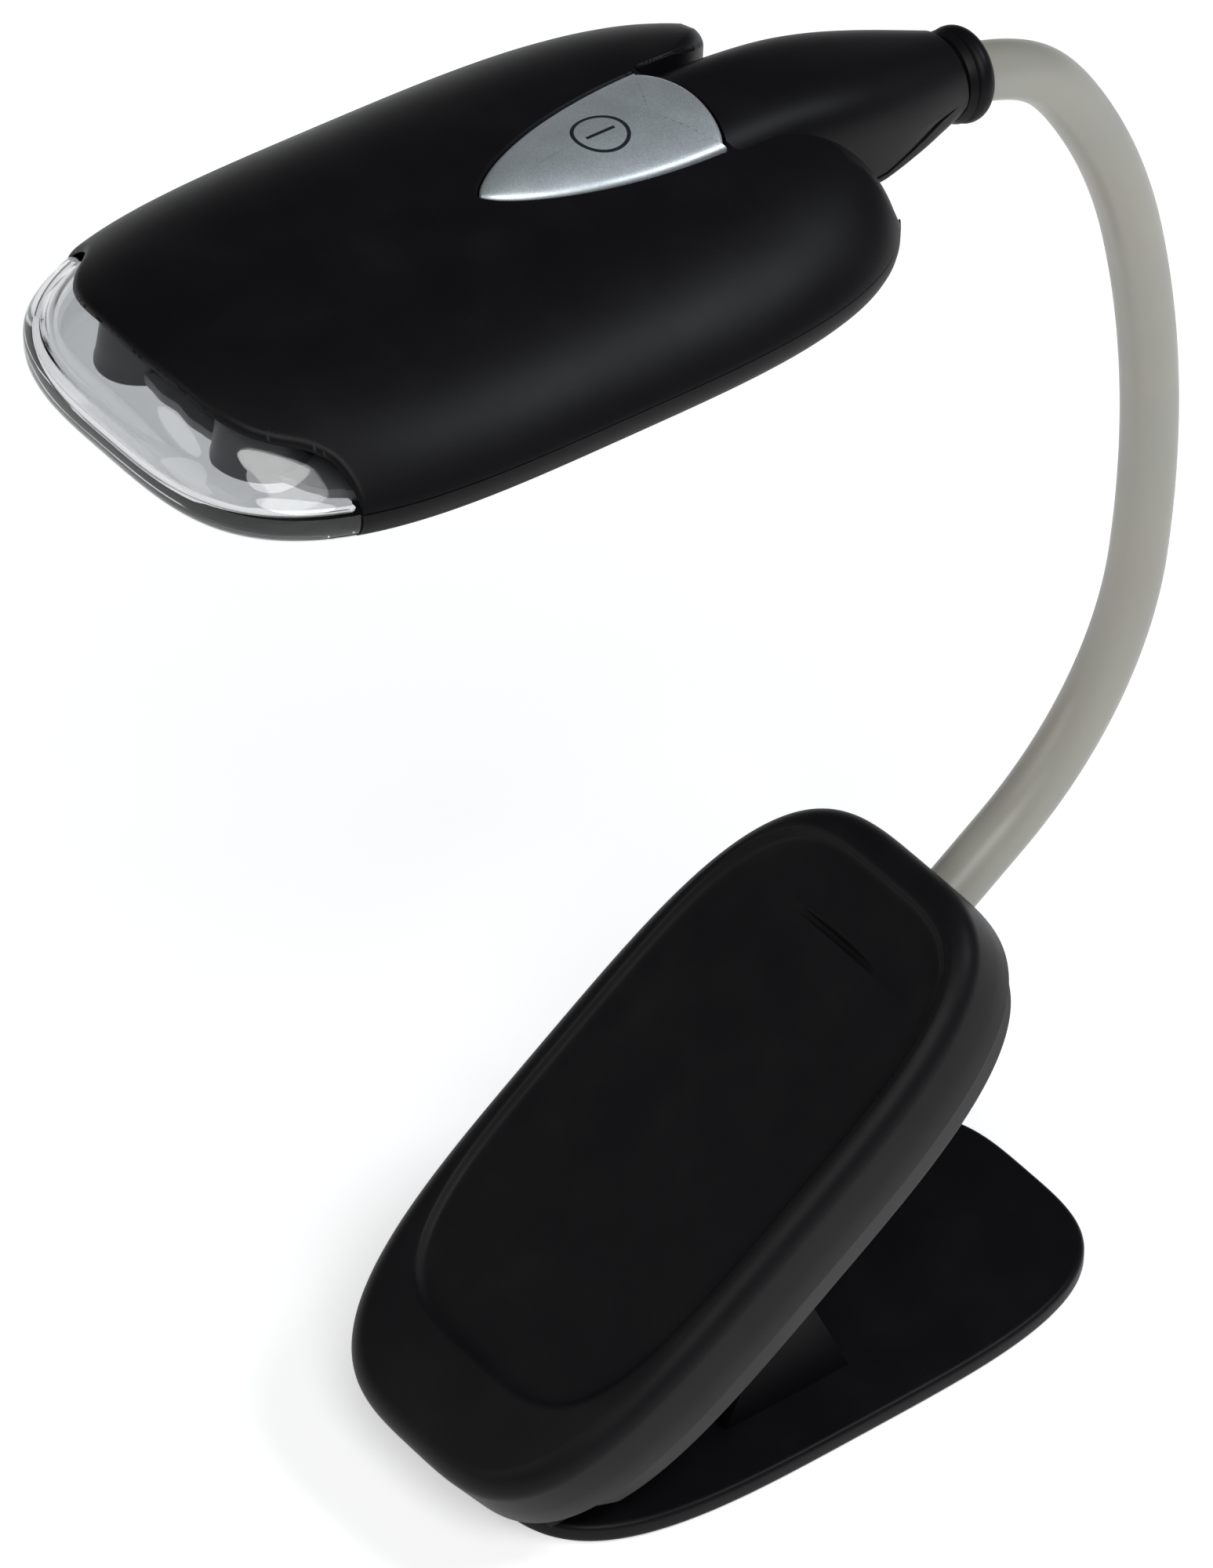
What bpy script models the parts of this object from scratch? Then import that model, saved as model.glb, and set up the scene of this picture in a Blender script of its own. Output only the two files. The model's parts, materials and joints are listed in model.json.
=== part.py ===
"""Clip-on reading lamp: a sprung battery clip, a bendable gooseneck and an LED head.

Run it with: blender --background --python part.py
Sizes are in millimetres and degrees. The lamp stands on the flat underside of its clip plate, which is
the plane Z = 0, with the middle of that underside at the origin. X runs from the jaws to the squeeze
end, and the lamp is symmetric about the plane Y = 0.
"""

import math

import bmesh
import bpy
from mathutils import Vector

MM = 0.001

# ---- Clip plate, the flat lower half of the clip ----
PLATE_LENGTH = 79.0
PLATE_WIDTH = 41.0
PLATE_THICKNESS = 2.5
PLATE_SQUARENESS = 3.5
PLATE_EDGE = 0.5

# ---- Battery housing, the upper half of the clip ----
HOUSING_LENGTH = 84.3
HOUSING_SIDE_ROOM = 4.45
HOUSING_SQUARENESS = 3.46
COVER_DIP = 0.1
COVER_ROUNDING = 3.0
COVER_WALL = 1.6
RECESS_LENGTH = 68.8
RECESS_SIDE_MARGIN = 2.9
RECESS_SQUARENESS = 3.85
RECESS_SHIFT = 4.1
RECESS_DEPTH = 0.8
RECESS_SLOPE = 1.2
CAVITY_INSET = 5.1
NOTCH_POSITION = 29.8
NOTCH_WIDTH = 14.0
NOTCH_DEPTH = 0.7
NOTCH_THICKNESS = 0.9
TRAY_DEPTH = 5.6
TRAY_LIP = 3.0
TRAY_FLOOR = 1.2
TRAY_CHAMFER = 0.8

# ---- Hinge between the two ----
PIN_X = -4.9
PIN_Z = 18.9
HINGE_ALONG = 2.6
HINGE_DROP = 9.4
PIN_RADIUS = 1.35
PIN_HOLE_RADIUS = 1.5
PIN_HEAD_RADIUS = 3.5
PIN_HEAD_HEIGHT = 1.6
TRAY_EAR_INNER = 8.2
EAR_THICKNESS = 2.0
PLATE_EAR_BASE = 9.2
SPRING_RADIUS = 2.7
SPRING_WIRE = 0.5
SPRING_TURNS = 5
SPRING_PITCH = 1.35
SPRING_LEG = 15.0

# ---- Jaws ----
PAD_THICKNESS = 1.1
PAD_LENGTH = 7.0
PAD_WIDTH = 26.0
PAD_SETBACK = 1.4
JAW_GAP = 0.3

# ---- Three AAA cells and their contacts ----
CELL_RADIUS = 5.25
CELL_LENGTH = 44.5
CELL_NUB_RADIUS = 1.9
CELL_NUB_LENGTH = 0.8
CELL_WALL = 1.3
WELL_END = 24.0
WELL_LENGTH = 50.0
CONTACT_THICKNESS = 0.4
CONTACT_SIZE = 7.2
CONTACT_WIRE = 0.3
CONTACT_TURNS = 3
CONTACT_COIL_RADIUS = 3.4
CONTACT_COIL_TAPER = 1.6

# ---- Gooseneck ----
NECK_RADIUS = 3.2
NECK_BORE_RADIUS = 1.9
NECK_CORE_RADIUS = 1.4
NECK_DROP = 1.6
NECK_SEAT = 13.0
# Each bend is (length, turn in degrees), from the clip to the head.
NECK_BENDS = ((8.0, 0.0), (37.0, 48.5), (45.8, 19.7), (24.0, 19.7), (17.0, 32.0), (7.0, 12.0))
NECK_TAIL = 8.0
NECK_FIRST_JOINT = 9.0
NECK_JOINT_SPACING = 18.0
NECK_JOINTS = 7
NECK_JOINT_GAP = 1.3

# ---- Head ----
HEAD_LENGTH = 88.8
HEAD_WIDTH = 54.8
HEAD_SQUARENESS = 3.4
HEAD_CROWN = 9.6
HEAD_FLOOR_DEPTH = 3.7
HEAD_NOSE_LEAN = 12.0
HEAD_PITCH_TO_BARREL = 10.3
TOP_WALL = 1.7
FLOOR_WALL = 1.4
NOSE_REACH = 40.2
NOSE_SWEEP = 8.4
NOSE_SWEEP_SPAN = 22.0
LENS_WALL = 1.6

# ---- Barrel that holds the gooseneck in the head ----
BARREL_END = 62.5
BARREL_HALF_WIDTH = 8.3
BARREL_RISE = 6.6
BARREL_FALL = 5.4
BARREL_TIP_RADIUS = 4.9
BARREL_FLANGE = 2.0
BARREL_FLANGE_FALL = 4.4
NECK_END_HEIGHT = 1.3
COLLAR_RADIUS = 5.7
COLLAR_WIDTH = 3.0

# ---- Power button and switch ----
BUTTON_TIP = 1.5
BUTTON_LENGTH = 25.0
BUTTON_REAR_BULGE = 1.6
BUTTON_HALF_WIDTH = 7.4
BUTTON_PROUD = 1.1
BUTTON_SKIRT = 3.2
# The button's crown, from its edge to its middle: (share drawn in, drop below the middle).
BUTTON_CROWN = ((0.0, 1.3), (0.1, 0.75), (0.3, 0.3), (0.6, 0.0))
STEM_RADIUS = 1.5
STEM_ALONG = 17.0
STEM_ENGAGEMENT = 1.0
SWITCH_SIZE = 6.4
SWITCH_DROP = 2.0
SWITCH_WELL_DEPTH = 2.2

# ---- LEDs and their board ----
BOARD_LENGTH = 51.0
BOARD_WIDTH = 27.0
BOARD_THICKNESS = 1.2
LED_SPACING = 19.2
LED_RADIUS = 2.5
LED_LENGTH = 5.5
CUP_RADIUS = 3.7
CUP_LENGTH = 7.0
CUP_FRONT = -37.4
CUP_HEIGHT = 1.9

# ---- Fasteners ----
SCREW_RADIUS = 1.0
SCREW_HEAD_RADIUS = 2.0
SCREW_SEAT_DEPTH = 0.6
SCREW_REACH = 3.2
BARREL_SCREW_RADIUS = 0.75
BARREL_SCREW_ALONG = 5.0
BARREL_SCREW_ACROSS = 6.2
BARREL_SCREW_BITE = 2.0
BOSS_RADIUS = 2.6
BOSS_RISE = 6.3
# Each pair of bosses is (place along the head, distance to either side of the middle).
BOSSES = ((-22.0, 17.0), (24.5, 15.5))

# ---- Clearances ----
FIT = 0.25
SNUG = 0.15
COVER_GAP = 0.4
WELL_GAP = 0.3

# ---- Facets ----
OUTLINE_POINTS = 44
ROUND_SIDES = 16
SMALL_SIDES = 10
TUBE_SIDES = 12
COLLAR_SIDES = 20

# ---- Worked out from the sizes above ----
RIM_REACH = HOUSING_LENGTH / 2 - HINGE_ALONG
JAW_RIM_Z = PLATE_THICKNESS + 3 * JAW_GAP
TILT = math.degrees(
    math.atan2(HINGE_DROP, RIM_REACH)
    + math.asin((PIN_Z - JAW_RIM_Z) / math.hypot(HINGE_DROP, RIM_REACH))
)
TRAY_INSET = COVER_WALL + COVER_GAP
EAR_RADIUS = HINGE_DROP - TRAY_DEPTH - 2 * FIT
CELL_SPACING = 2 * CELL_RADIUS + CELL_WALL
HOUSING_WIDTH = 2 * (CELL_SPACING + CELL_RADIUS + HOUSING_SIDE_ROOM)
COVER_HEIGHT = 2 * CELL_RADIUS - COVER_DIP
RECESS_WIDTH = HOUSING_WIDTH - 2 * RECESS_SIDE_MARGIN
WELL_RADIUS = CELL_RADIUS + WELL_GAP
WELL_HEIGHT = WELL_RADIUS + TRAY_FLOOR - TRAY_DEPTH
PLATE_EAR_INNER = TRAY_EAR_INNER + EAR_THICKNESS + COVER_GAP
JAW_FACE_Z = PLATE_THICKNESS + 2 * PAD_THICKNESS + JAW_GAP + 2 * SNUG
NECK_LENGTH = sum(length for length, _ in NECK_BENDS)
NECK_BORE_FIT = NECK_RADIUS + FIT
HEAD_PITCH = 180.0 - TILT - sum(turn for _, turn in NECK_BENDS) - HEAD_PITCH_TO_BARREL
HALF_LENGTH = HEAD_LENGTH / 2
HALF_WIDTH = HEAD_WIDTH / 2
HEAD_FLOOR = FLOOR_WALL - HEAD_FLOOR_DEPTH
BOARD_TOP = HEAD_FLOOR + SNUG + BOARD_THICKNESS
BOARD_FRONT = CUP_FRONT + CUP_LENGTH + FIT
BUTTON_TOP = HEAD_CROWN + BUTTON_PROUD
SWITCH_TOP = BUTTON_TOP - BUTTON_SKIRT - SWITCH_DROP
BARREL_START = BUTTON_TIP + BUTTON_LENGTH + BUTTON_REAR_BULGE + 4 * FIT


# ---------------------------------------------------------------- materials
def material(name, color, roughness, metallic=0.0):
    """A Principled BSDF material."""
    made = bpy.data.materials.new(name)
    made.use_nodes = True
    shader = made.node_tree.nodes["Principled BSDF"]
    shader.inputs["Base Color"].default_value = (*color, 1.0)
    shader.inputs["Roughness"].default_value = roughness
    shader.inputs["Metallic"].default_value = metallic
    made.diffuse_color = (*color, 1.0)
    return made


def make_materials():
    """The lamp's finishes by name."""
    return {
        "black": material("satin_black_plastic", (0.012, 0.011, 0.012), 0.42),
        "inner": material("inner_black_plastic", (0.02, 0.02, 0.021), 0.6),
        "silver": material("silver_button_plastic", (0.55, 0.57, 0.6), 0.32, 0.6),
        "clear": material("clear_plastic", (0.82, 0.85, 0.86), 0.05),
        "tube": material("grey_tube_plastic", (0.3, 0.29, 0.27), 0.38),
        "rubber": material("jaw_rubber", (0.018, 0.018, 0.018), 0.85),
        "steel": material("plated_steel", (0.62, 0.62, 0.62), 0.28, 1.0),
        "brass": material("contact_brass", (0.72, 0.55, 0.28), 0.3, 1.0),
        "board": material("board_green", (0.03, 0.16, 0.07), 0.5),
        "cell": material("cell_wrap", (0.12, 0.2, 0.34), 0.35),
        "led": material("led_epoxy", (0.88, 0.86, 0.7), 0.12),
        "mirror": material("reflector_plating", (0.8, 0.8, 0.82), 0.15, 1.0),
        "wire": material("lead_wire", (0.45, 0.03, 0.02), 0.45),
    }


# ---------------------------------------------------------------- frames
def add_frame(name, parent=None, location=(0, 0, 0), pitch=0.0):
    """An empty that other objects are placed in. A positive pitch raises its +X end."""
    empty = bpy.data.objects.new(name, None)
    empty.empty_display_size = 5 * MM
    bpy.context.scene.collection.objects.link(empty)
    empty.parent = parent
    empty.location = Vector(location) * MM
    empty.rotation_euler = (0, -math.radians(pitch), 0)
    return empty


# ---------------------------------------------------------------- solids
def add_mesh(name, mesh_maker, finish, frame, location=(0, 0, 0), rotation=(0, 0, 0), smooth=True):
    """An object in a frame, from a bmesh in millimetres that mesh_maker returns."""
    work = mesh_maker()
    bmesh.ops.recalc_face_normals(work, faces=work.faces)
    bmesh.ops.scale(work, vec=(MM, MM, MM), verts=work.verts)
    data = bpy.data.meshes.new(name)
    work.to_mesh(data)
    work.free()
    if smooth:
        data.shade_smooth()
        data.set_sharp_from_angle(angle=math.radians(35))
    if finish:
        data.materials.append(finish)
    added = bpy.data.objects.new(name, data)
    bpy.context.scene.collection.objects.link(added)
    added.parent = frame
    added.location = Vector(location) * MM
    added.rotation_euler = rotation
    return added


def loft(rings, closed=False):
    """A bmesh through equal rings of points, capped at both ends or closed on itself."""
    work = bmesh.new()
    loops = [[work.verts.new(point) for point in ring] for ring in rings]
    pairs = list(zip(loops, loops[1:]))
    if closed:
        pairs.append((loops[-1], loops[0]))
    else:
        work.faces.new(loops[0])
        work.faces.new(loops[-1])
    for low, high in pairs:
        for index in range(len(low)):
            follow = (index + 1) % len(low)
            work.faces.new((low[index], low[follow], high[follow], high[index]))
    return work


def superellipse(half_x, half_y, squareness, height, centre_x=0.0):
    """A rounded rectangle as one smooth closed ring at a height."""
    ring = []
    for index in range(OUTLINE_POINTS):
        turn = 2 * math.pi * index / OUTLINE_POINTS
        cosine, sine = math.cos(turn), math.sin(turn)
        x = math.copysign(abs(cosine) ** (2 / squareness), cosine) * half_x
        y = math.copysign(abs(sine) ** (2 / squareness), sine) * half_y
        ring.append((centre_x + x, y, height))
    return ring


def circle(radius, height, sides):
    """A round ring about Z at a height."""
    turns = [2 * math.pi * index / sides for index in range(sides)]
    return [(radius * math.cos(turn), radius * math.sin(turn), height) for turn in turns]


def turned(profile, sides=ROUND_SIDES, closed=False):
    """A bmesh turned about Z from (radius, height) pairs."""
    return loft([circle(radius, height, sides) for radius, height in profile], closed)


def box(low, high):
    """A bmesh box between two corners."""
    work = bmesh.new()
    bmesh.ops.create_cube(work, size=1.0)
    low, high = Vector(low), Vector(high)
    bmesh.ops.scale(work, vec=high - low, verts=work.verts)
    bmesh.ops.translate(work, vec=(low + high) / 2, verts=work.verts)
    return work


def prism(outline, low, high, across=False):
    """A bmesh extruded from an outline: along Z, or along Y from (x, z) points when across is set."""
    work = bmesh.new()
    if across:
        points = [(x, low, z) for x, z in outline]
        move = (0, high - low, 0)
    else:
        points = [(x, y, low) for x, y in outline]
        move = (0, 0, high - low)
    face = work.faces.new([work.verts.new(point) for point in points])
    raised = bmesh.ops.extrude_face_region(work, geom=[face])
    moved = [item for item in raised["geom"] if isinstance(item, bmesh.types.BMVert)]
    bmesh.ops.translate(work, vec=move, verts=moved)
    return work


def add_wire(name, points, radius, finish, frame, resolution=1):
    """A round wire through points, as a bevelled curve with filled caps."""
    data = bpy.data.curves.new(name, "CURVE")
    data.dimensions = "3D"
    data.bevel_depth = radius * MM
    data.bevel_resolution = resolution
    data.use_fill_caps = True
    spline = data.splines.new("POLY")
    spline.points.add(len(points) - 1)
    for target, point in zip(spline.points, points):
        target.co = (*(Vector(point) * MM), 1.0)
    data.materials.append(finish)
    added = bpy.data.objects.new(name, data)
    bpy.context.scene.collection.objects.link(added)
    added.parent = frame
    return added


def combine(target, tool, operation):
    """Cuts, joins or intersects a hidden tool solid with the target."""
    modifier = target.modifiers.new(tool.name, "BOOLEAN")
    modifier.operation = operation
    modifier.solver = "EXACT"
    modifier.object = tool
    tool.hide_render = True
    tool.display_type = "WIRE"


def cut_hole(target, name, frame, location, radius, depth, axis="Z", sides=SMALL_SIDES):
    """Drills a round hole of a depth, centred on a location, along an axis of the frame."""
    rotation = {"X": (0, math.pi / 2, 0), "Y": (math.pi / 2, 0, 0), "Z": (0, 0, 0)}[axis]
    profile = ((radius, -depth / 2), (radius, depth / 2))
    tool = add_mesh(name, lambda: turned(profile, sides), None, frame, location, rotation)
    combine(target, tool, "DIFFERENCE")


# ---------------------------------------------------------------- clip plate and hinge
def ear_outline(centre, radius, base_half, base_height):
    """A lug's (x, z) outline: a round end about a centre, spreading to a base."""
    centre_x, centre_z = centre
    standing = base_height < centre_z
    lean = base_half if standing else -base_half
    outline = [(centre_x - lean, base_height), (centre_x + lean, base_height)]
    for step in range(-2, 11):
        turn = math.radians(22.5 * step + (0 if standing else 180))
        outline.append((centre_x + radius * math.cos(turn), centre_z + radius * math.sin(turn)))
    return outline


def make_plate(root, finishes):
    """The flat lower half of the clip, with two ears for the hinge pin."""
    rings = [
        superellipse(PLATE_LENGTH / 2 - PLATE_EDGE, PLATE_WIDTH / 2 - PLATE_EDGE, PLATE_SQUARENESS, 0),
        superellipse(PLATE_LENGTH / 2, PLATE_WIDTH / 2, PLATE_SQUARENESS, PLATE_EDGE),
        superellipse(PLATE_LENGTH / 2, PLATE_WIDTH / 2, PLATE_SQUARENESS, PLATE_THICKNESS - PLATE_EDGE),
        superellipse(
            PLATE_LENGTH / 2 - PLATE_EDGE, PLATE_WIDTH / 2 - PLATE_EDGE, PLATE_SQUARENESS, PLATE_THICKNESS
        ),
    ]
    plate = add_mesh("clip_plate", lambda: loft(rings), finishes["black"], root)
    outline = ear_outline((PIN_X, PIN_Z), EAR_RADIUS, PLATE_EAR_BASE, PLATE_THICKNESS / 2)
    for side, name in ((-1, "plate_ear_left"), (1, "plate_ear_right")):
        near = side * PLATE_EAR_INNER
        far = side * (PLATE_EAR_INNER + EAR_THICKNESS)
        low, high = min(near, far), max(near, far)
        ear = add_mesh(name, lambda: prism(outline, low, high, across=True), None, root)
        combine(plate, ear, "UNION")
    reach = 4 * PLATE_EAR_INNER
    cut_hole(plate, "plate_pin_hole", root, (PIN_X, 0, PIN_Z), PIN_HOLE_RADIUS, reach, "Y", ROUND_SIDES)


def make_pin(root, finishes):
    """The hinge pin with its domed head, and the push-on cap at its far end."""
    outer = PLATE_EAR_INNER + EAR_THICKNESS + SNUG
    profile = (
        (PIN_RADIUS, -outer),
        (PIN_RADIUS, outer),
        (PIN_HEAD_RADIUS, outer),
        (PIN_HEAD_RADIUS, outer + 0.4 * PIN_HEAD_HEIGHT),
        (0.8 * PIN_HEAD_RADIUS, outer + 0.8 * PIN_HEAD_HEIGHT),
        (0.35 * PIN_HEAD_RADIUS, outer + PIN_HEAD_HEIGHT),
    )
    place = (PIN_X, 0, PIN_Z)
    toward_front = (math.pi / 2, 0, 0)
    add_mesh("hinge_pin", lambda: turned(profile), finishes["steel"], root, place, toward_front)
    cap = (
        (0.85 * PIN_HEAD_RADIUS, -outer - SNUG),
        (PIN_HEAD_RADIUS, -outer - SNUG - 0.4),
        (0.8 * PIN_HEAD_RADIUS, -outer - 0.8 * PIN_HEAD_HEIGHT),
    )
    add_mesh("pin_cap", lambda: turned(cap), finishes["steel"], root, place, toward_front)


def make_spring(root, finishes):
    """The torsion spring that closes the jaws: one leg under the tray and one on the plate."""
    foot = Vector((SPRING_LEG, 0, PLATE_THICKNESS + SPRING_WIRE + SNUG - PIN_Z))
    leg_length = math.sqrt(foot.length_squared - SPRING_RADIUS**2)
    foot_turn = math.atan2(foot.z, foot.x) - math.atan2(SPRING_RADIUS, leg_length)
    start_turn = math.radians(TILT) + math.pi / 2
    end_turn = foot_turn + 2 * math.pi - math.pi / 2 + 2 * math.pi * SPRING_TURNS
    steps = round((end_turn - start_turn) / (2 * math.pi) * 14)
    half_width = SPRING_PITCH * (end_turn - start_turn) / (4 * math.pi)
    along = Vector((math.cos(math.radians(TILT)), 0, math.sin(math.radians(TILT))))
    centre = Vector((PIN_X, 0, PIN_Z))
    coil = []
    for step in range(steps + 1):
        turn = start_turn + (end_turn - start_turn) * step / steps
        across = -half_width + 2 * half_width * step / steps
        ray = Vector((math.cos(turn), 0, math.sin(turn))) * SPRING_RADIUS
        coil.append(centre + ray + Vector((0, across, 0)))
    top_tip = coil[0] + along * SPRING_LEG
    foot_tip = centre + foot + Vector((0, half_width, 0))
    points = [top_tip, *coil, foot_tip]
    add_wire("torsion_spring", points, SPRING_WIRE, finishes["steel"], root)


def make_jaw_pads(root, hinge, finishes):
    """The rubber pads on the plate and under the tray, face to face when the jaws are shut."""
    back = -PLATE_LENGTH / 2 + PAD_SETBACK
    low = PLATE_THICKNESS + SNUG
    corner = (back, -PAD_WIDTH / 2, low)
    far = (back + PAD_LENGTH, PAD_WIDTH / 2, low + PAD_THICKNESS)
    add_mesh("lower_jaw_pad", lambda: box(corner, far), finishes["rubber"], root)
    rise = PAD_THICKNESS + JAW_GAP
    pad = add_mesh("upper_jaw_pad", lambda: box(corner, far), finishes["rubber"], root)
    pad.location.z = rise * MM
    keep_place(pad, hinge)


def keep_place(piece, frame):
    """Moves a piece to another frame without moving it in the world."""
    bpy.context.view_layer.update()
    world = piece.matrix_world.copy()
    piece.parent = frame
    piece.matrix_world = world


# ---------------------------------------------------------------- battery housing
def housing_ring(inset, height):
    """The housing outline, moved in by an inset."""
    half_length = HOUSING_LENGTH / 2 - inset
    half_width = HOUSING_WIDTH / 2 - inset
    return superellipse(half_length, half_width, HOUSING_SQUARENESS, height)


def recess_ring(inset, height):
    """The outline of the cover's dished face, moved in by an inset."""
    half_length = RECESS_LENGTH / 2 - inset
    half_width = RECESS_WIDTH / 2 - inset
    return superellipse(half_length, half_width, RECESS_SQUARENESS, height, RECESS_SHIFT)


def make_tray(root, housing, finishes):
    """The tray: three cell wells, the hinge ears, the upper jaw and the seat of the gooseneck."""
    rings = [
        housing_ring(TRAY_INSET + TRAY_CHAMFER, -TRAY_DEPTH),
        housing_ring(TRAY_INSET, TRAY_CHAMFER - TRAY_DEPTH),
        housing_ring(TRAY_INSET, TRAY_LIP),
    ]
    tray = add_mesh("battery_tray", lambda: loft(rings), finishes["inner"], housing)
    outline = ear_outline((-HINGE_ALONG, -HINGE_DROP), EAR_RADIUS, 1.8 * EAR_RADIUS, -TRAY_DEPTH / 1.1)
    for side, name in ((-1, "tray_ear_left"), (1, "tray_ear_right")):
        near = side * TRAY_EAR_INNER
        far = side * (TRAY_EAR_INNER + EAR_THICKNESS)
        low, high = min(near, far), max(near, far)
        ear = add_mesh(name, lambda: prism(outline, low, high, across=True), None, housing)
        combine(tray, ear, "UNION")
    pivot = (-HINGE_ALONG, 0, -HINGE_DROP)
    cut_hole(tray, "tray_pin_hole", housing, pivot, PIN_HOLE_RADIUS, 4 * TRAY_EAR_INNER, "Y", ROUND_SIDES)
    for number in (1, 2, 3):
        place = (WELL_END - WELL_LENGTH / 2, (number - 2) * CELL_SPACING, WELL_HEIGHT)
        cut_hole(tray, f"cell_well_{number}", housing, place, WELL_RADIUS, WELL_LENGTH, "X", ROUND_SIDES)
    seat = HOUSING_LENGTH / 2 - NECK_SEAT - FIT
    place = (seat + NECK_SEAT, 0, -NECK_DROP)
    cut_hole(tray, "neck_seat", housing, place, NECK_BORE_FIT, 2 * NECK_SEAT, "X", ROUND_SIDES)
    place = (HOUSING_LENGTH / 2 - NECK_SEAT / 2, 0, TRAY_LIP)
    cut_hole(tray, "neck_screw_hole", housing, place, SCREW_RADIUS + SNUG, 2 * TRAY_LIP)
    reach = HOUSING_LENGTH
    low, high = (-2 * reach, -reach, -reach), (PIN_X - EAR_RADIUS, reach, JAW_FACE_Z)
    jaw = add_mesh("jaw_face", lambda: box(low, high), None, root)
    combine(tray, jaw, "DIFFERENCE")
    screw = (
        (SCREW_RADIUS, NECK_RADIUS - NECK_DROP + SNUG),
        (SCREW_RADIUS, TRAY_LIP + 0.6),
        (0.7 * SCREW_RADIUS, TRAY_LIP + 0.8),
    )
    place = (HOUSING_LENGTH / 2 - NECK_SEAT / 2, 0, 0)
    add_mesh("neck_screw", lambda: turned(screw, SMALL_SIDES), finishes["steel"], housing, place)


def make_cover(housing, cover, finishes):
    """The soap-bar battery cover, with a dished face and a fingernail notch."""
    top = COVER_HEIGHT
    corner = top - COVER_ROUNDING
    floor = top - RECESS_DEPTH
    outer = [housing_ring(0, 0), housing_ring(0, corner)]
    for turn in (25, 50, 75):
        inset = COVER_ROUNDING * (1 - math.cos(math.radians(turn)))
        outer.append(housing_ring(inset, corner + COVER_ROUNDING * math.sin(math.radians(turn))))
    outer += [recess_ring(0, top), recess_ring(RECESS_SLOPE, floor)]
    inner = [
        housing_ring(CAVITY_INSET, floor - COVER_WALL),
        housing_ring(COVER_WALL, corner - COVER_WALL),
        housing_ring(COVER_WALL, 0),
    ]
    shell = add_mesh("battery_cover", lambda: loft(inner + outer), finishes["black"], cover)
    place = (HOUSING_LENGTH / 2, 0, -NECK_DROP)
    bore = NECK_BORE_FIT + SNUG
    cut_hole(shell, "cover_neck_notch", housing, place, bore, 4 * COVER_WALL, "X", ROUND_SIDES)
    sweep = (NOTCH_WIDTH**2 / 4 + NOTCH_DEPTH**2) / (2 * NOTCH_DEPTH)
    place = (NOTCH_POSITION, 0, floor - NOTCH_DEPTH + sweep)
    cut_hole(shell, "nail_notch", cover, place, sweep, NOTCH_THICKNESS, "X", 4 * ROUND_SIDES)


def make_cells(housing, finishes):
    """Three cells side by side, each between a coil contact and a plate contact."""
    back = WELL_END - WELL_LENGTH + SNUG
    cell_end = WELL_END - CONTACT_THICKNESS - 2 * SNUG
    cell_start = cell_end - CELL_LENGTH
    body = CELL_LENGTH - CELL_NUB_LENGTH
    profile = (
        (0.9 * CELL_RADIUS, 0),
        (CELL_RADIUS, 0.4),
        (CELL_RADIUS, body - 0.4),
        (0.9 * CELL_RADIUS, body),
        (CELL_NUB_RADIUS, body),
        (CELL_NUB_RADIUS, CELL_LENGTH),
    )
    lengthwise = (0, math.pi / 2, 0)
    for number in (1, 2, 3):
        across = (number - 2) * CELL_SPACING
        place = (cell_start, across, WELL_HEIGHT)
        add_mesh(f"cell_{number}", lambda: turned(profile), finishes["cell"], housing, place, lengthwise)
        reach = CONTACT_SIZE / 2
        low = (WELL_END - SNUG - CONTACT_THICKNESS, across - reach, WELL_HEIGHT - reach)
        high = (WELL_END - SNUG, across + reach, WELL_HEIGHT + reach)
        add_mesh(f"contact_plate_{number}", lambda: box(low, high), finishes["brass"], housing)
        room = cell_start - SNUG - back - 2 * CONTACT_WIRE
        coil = []
        for step in range(CONTACT_TURNS * 10 + 1):
            share = step / (CONTACT_TURNS * 10)
            turn = 2 * math.pi * CONTACT_TURNS * share
            radius = CONTACT_COIL_RADIUS - CONTACT_COIL_TAPER * share
            along = back + CONTACT_WIRE + room * share
            coil.append((along, across + radius * math.cos(turn), WELL_HEIGHT + radius * math.sin(turn)))
        add_wire(f"contact_spring_{number}", coil, CONTACT_WIRE, finishes["steel"], housing, 0)


# ---------------------------------------------------------------- gooseneck
def neck_point(distance):
    """Place and heading of the gooseneck's centre line at a distance past the housing's end wall."""
    tilt = math.radians(TILT)
    along, rise = HOUSING_LENGTH / 2 + HINGE_ALONG, HINGE_DROP - NECK_DROP
    x = PIN_X + along * math.cos(tilt) - rise * math.sin(tilt)
    z = PIN_Z + along * math.sin(tilt) + rise * math.cos(tilt)
    heading = tilt
    left = distance
    bends = NECK_BENDS if distance > 0 else ()
    for length, turn in bends:
        run = min(left, length)
        bend = math.radians(turn) * run / length
        chord = run if abs(bend) < 1e-9 else 2 * run / bend * math.sin(bend / 2)
        x += chord * math.cos(heading + bend / 2)
        z += chord * math.sin(heading + bend / 2)
        heading += bend
        left -= run
    return Vector((x + left * math.cos(heading), 0, z + left * math.sin(heading))), heading


def neck_ring(distance, radius, sides):
    """A round ring across the gooseneck's centre line."""
    centre, heading = neck_point(distance)
    up = Vector((-math.sin(heading), 0, math.cos(heading)))
    ring = []
    for index in range(sides):
        turn = 2 * math.pi * index / sides
        ring.append(centre + up * radius * math.cos(turn) + Vector((0, radius * math.sin(turn), 0)))
    return ring


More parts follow.
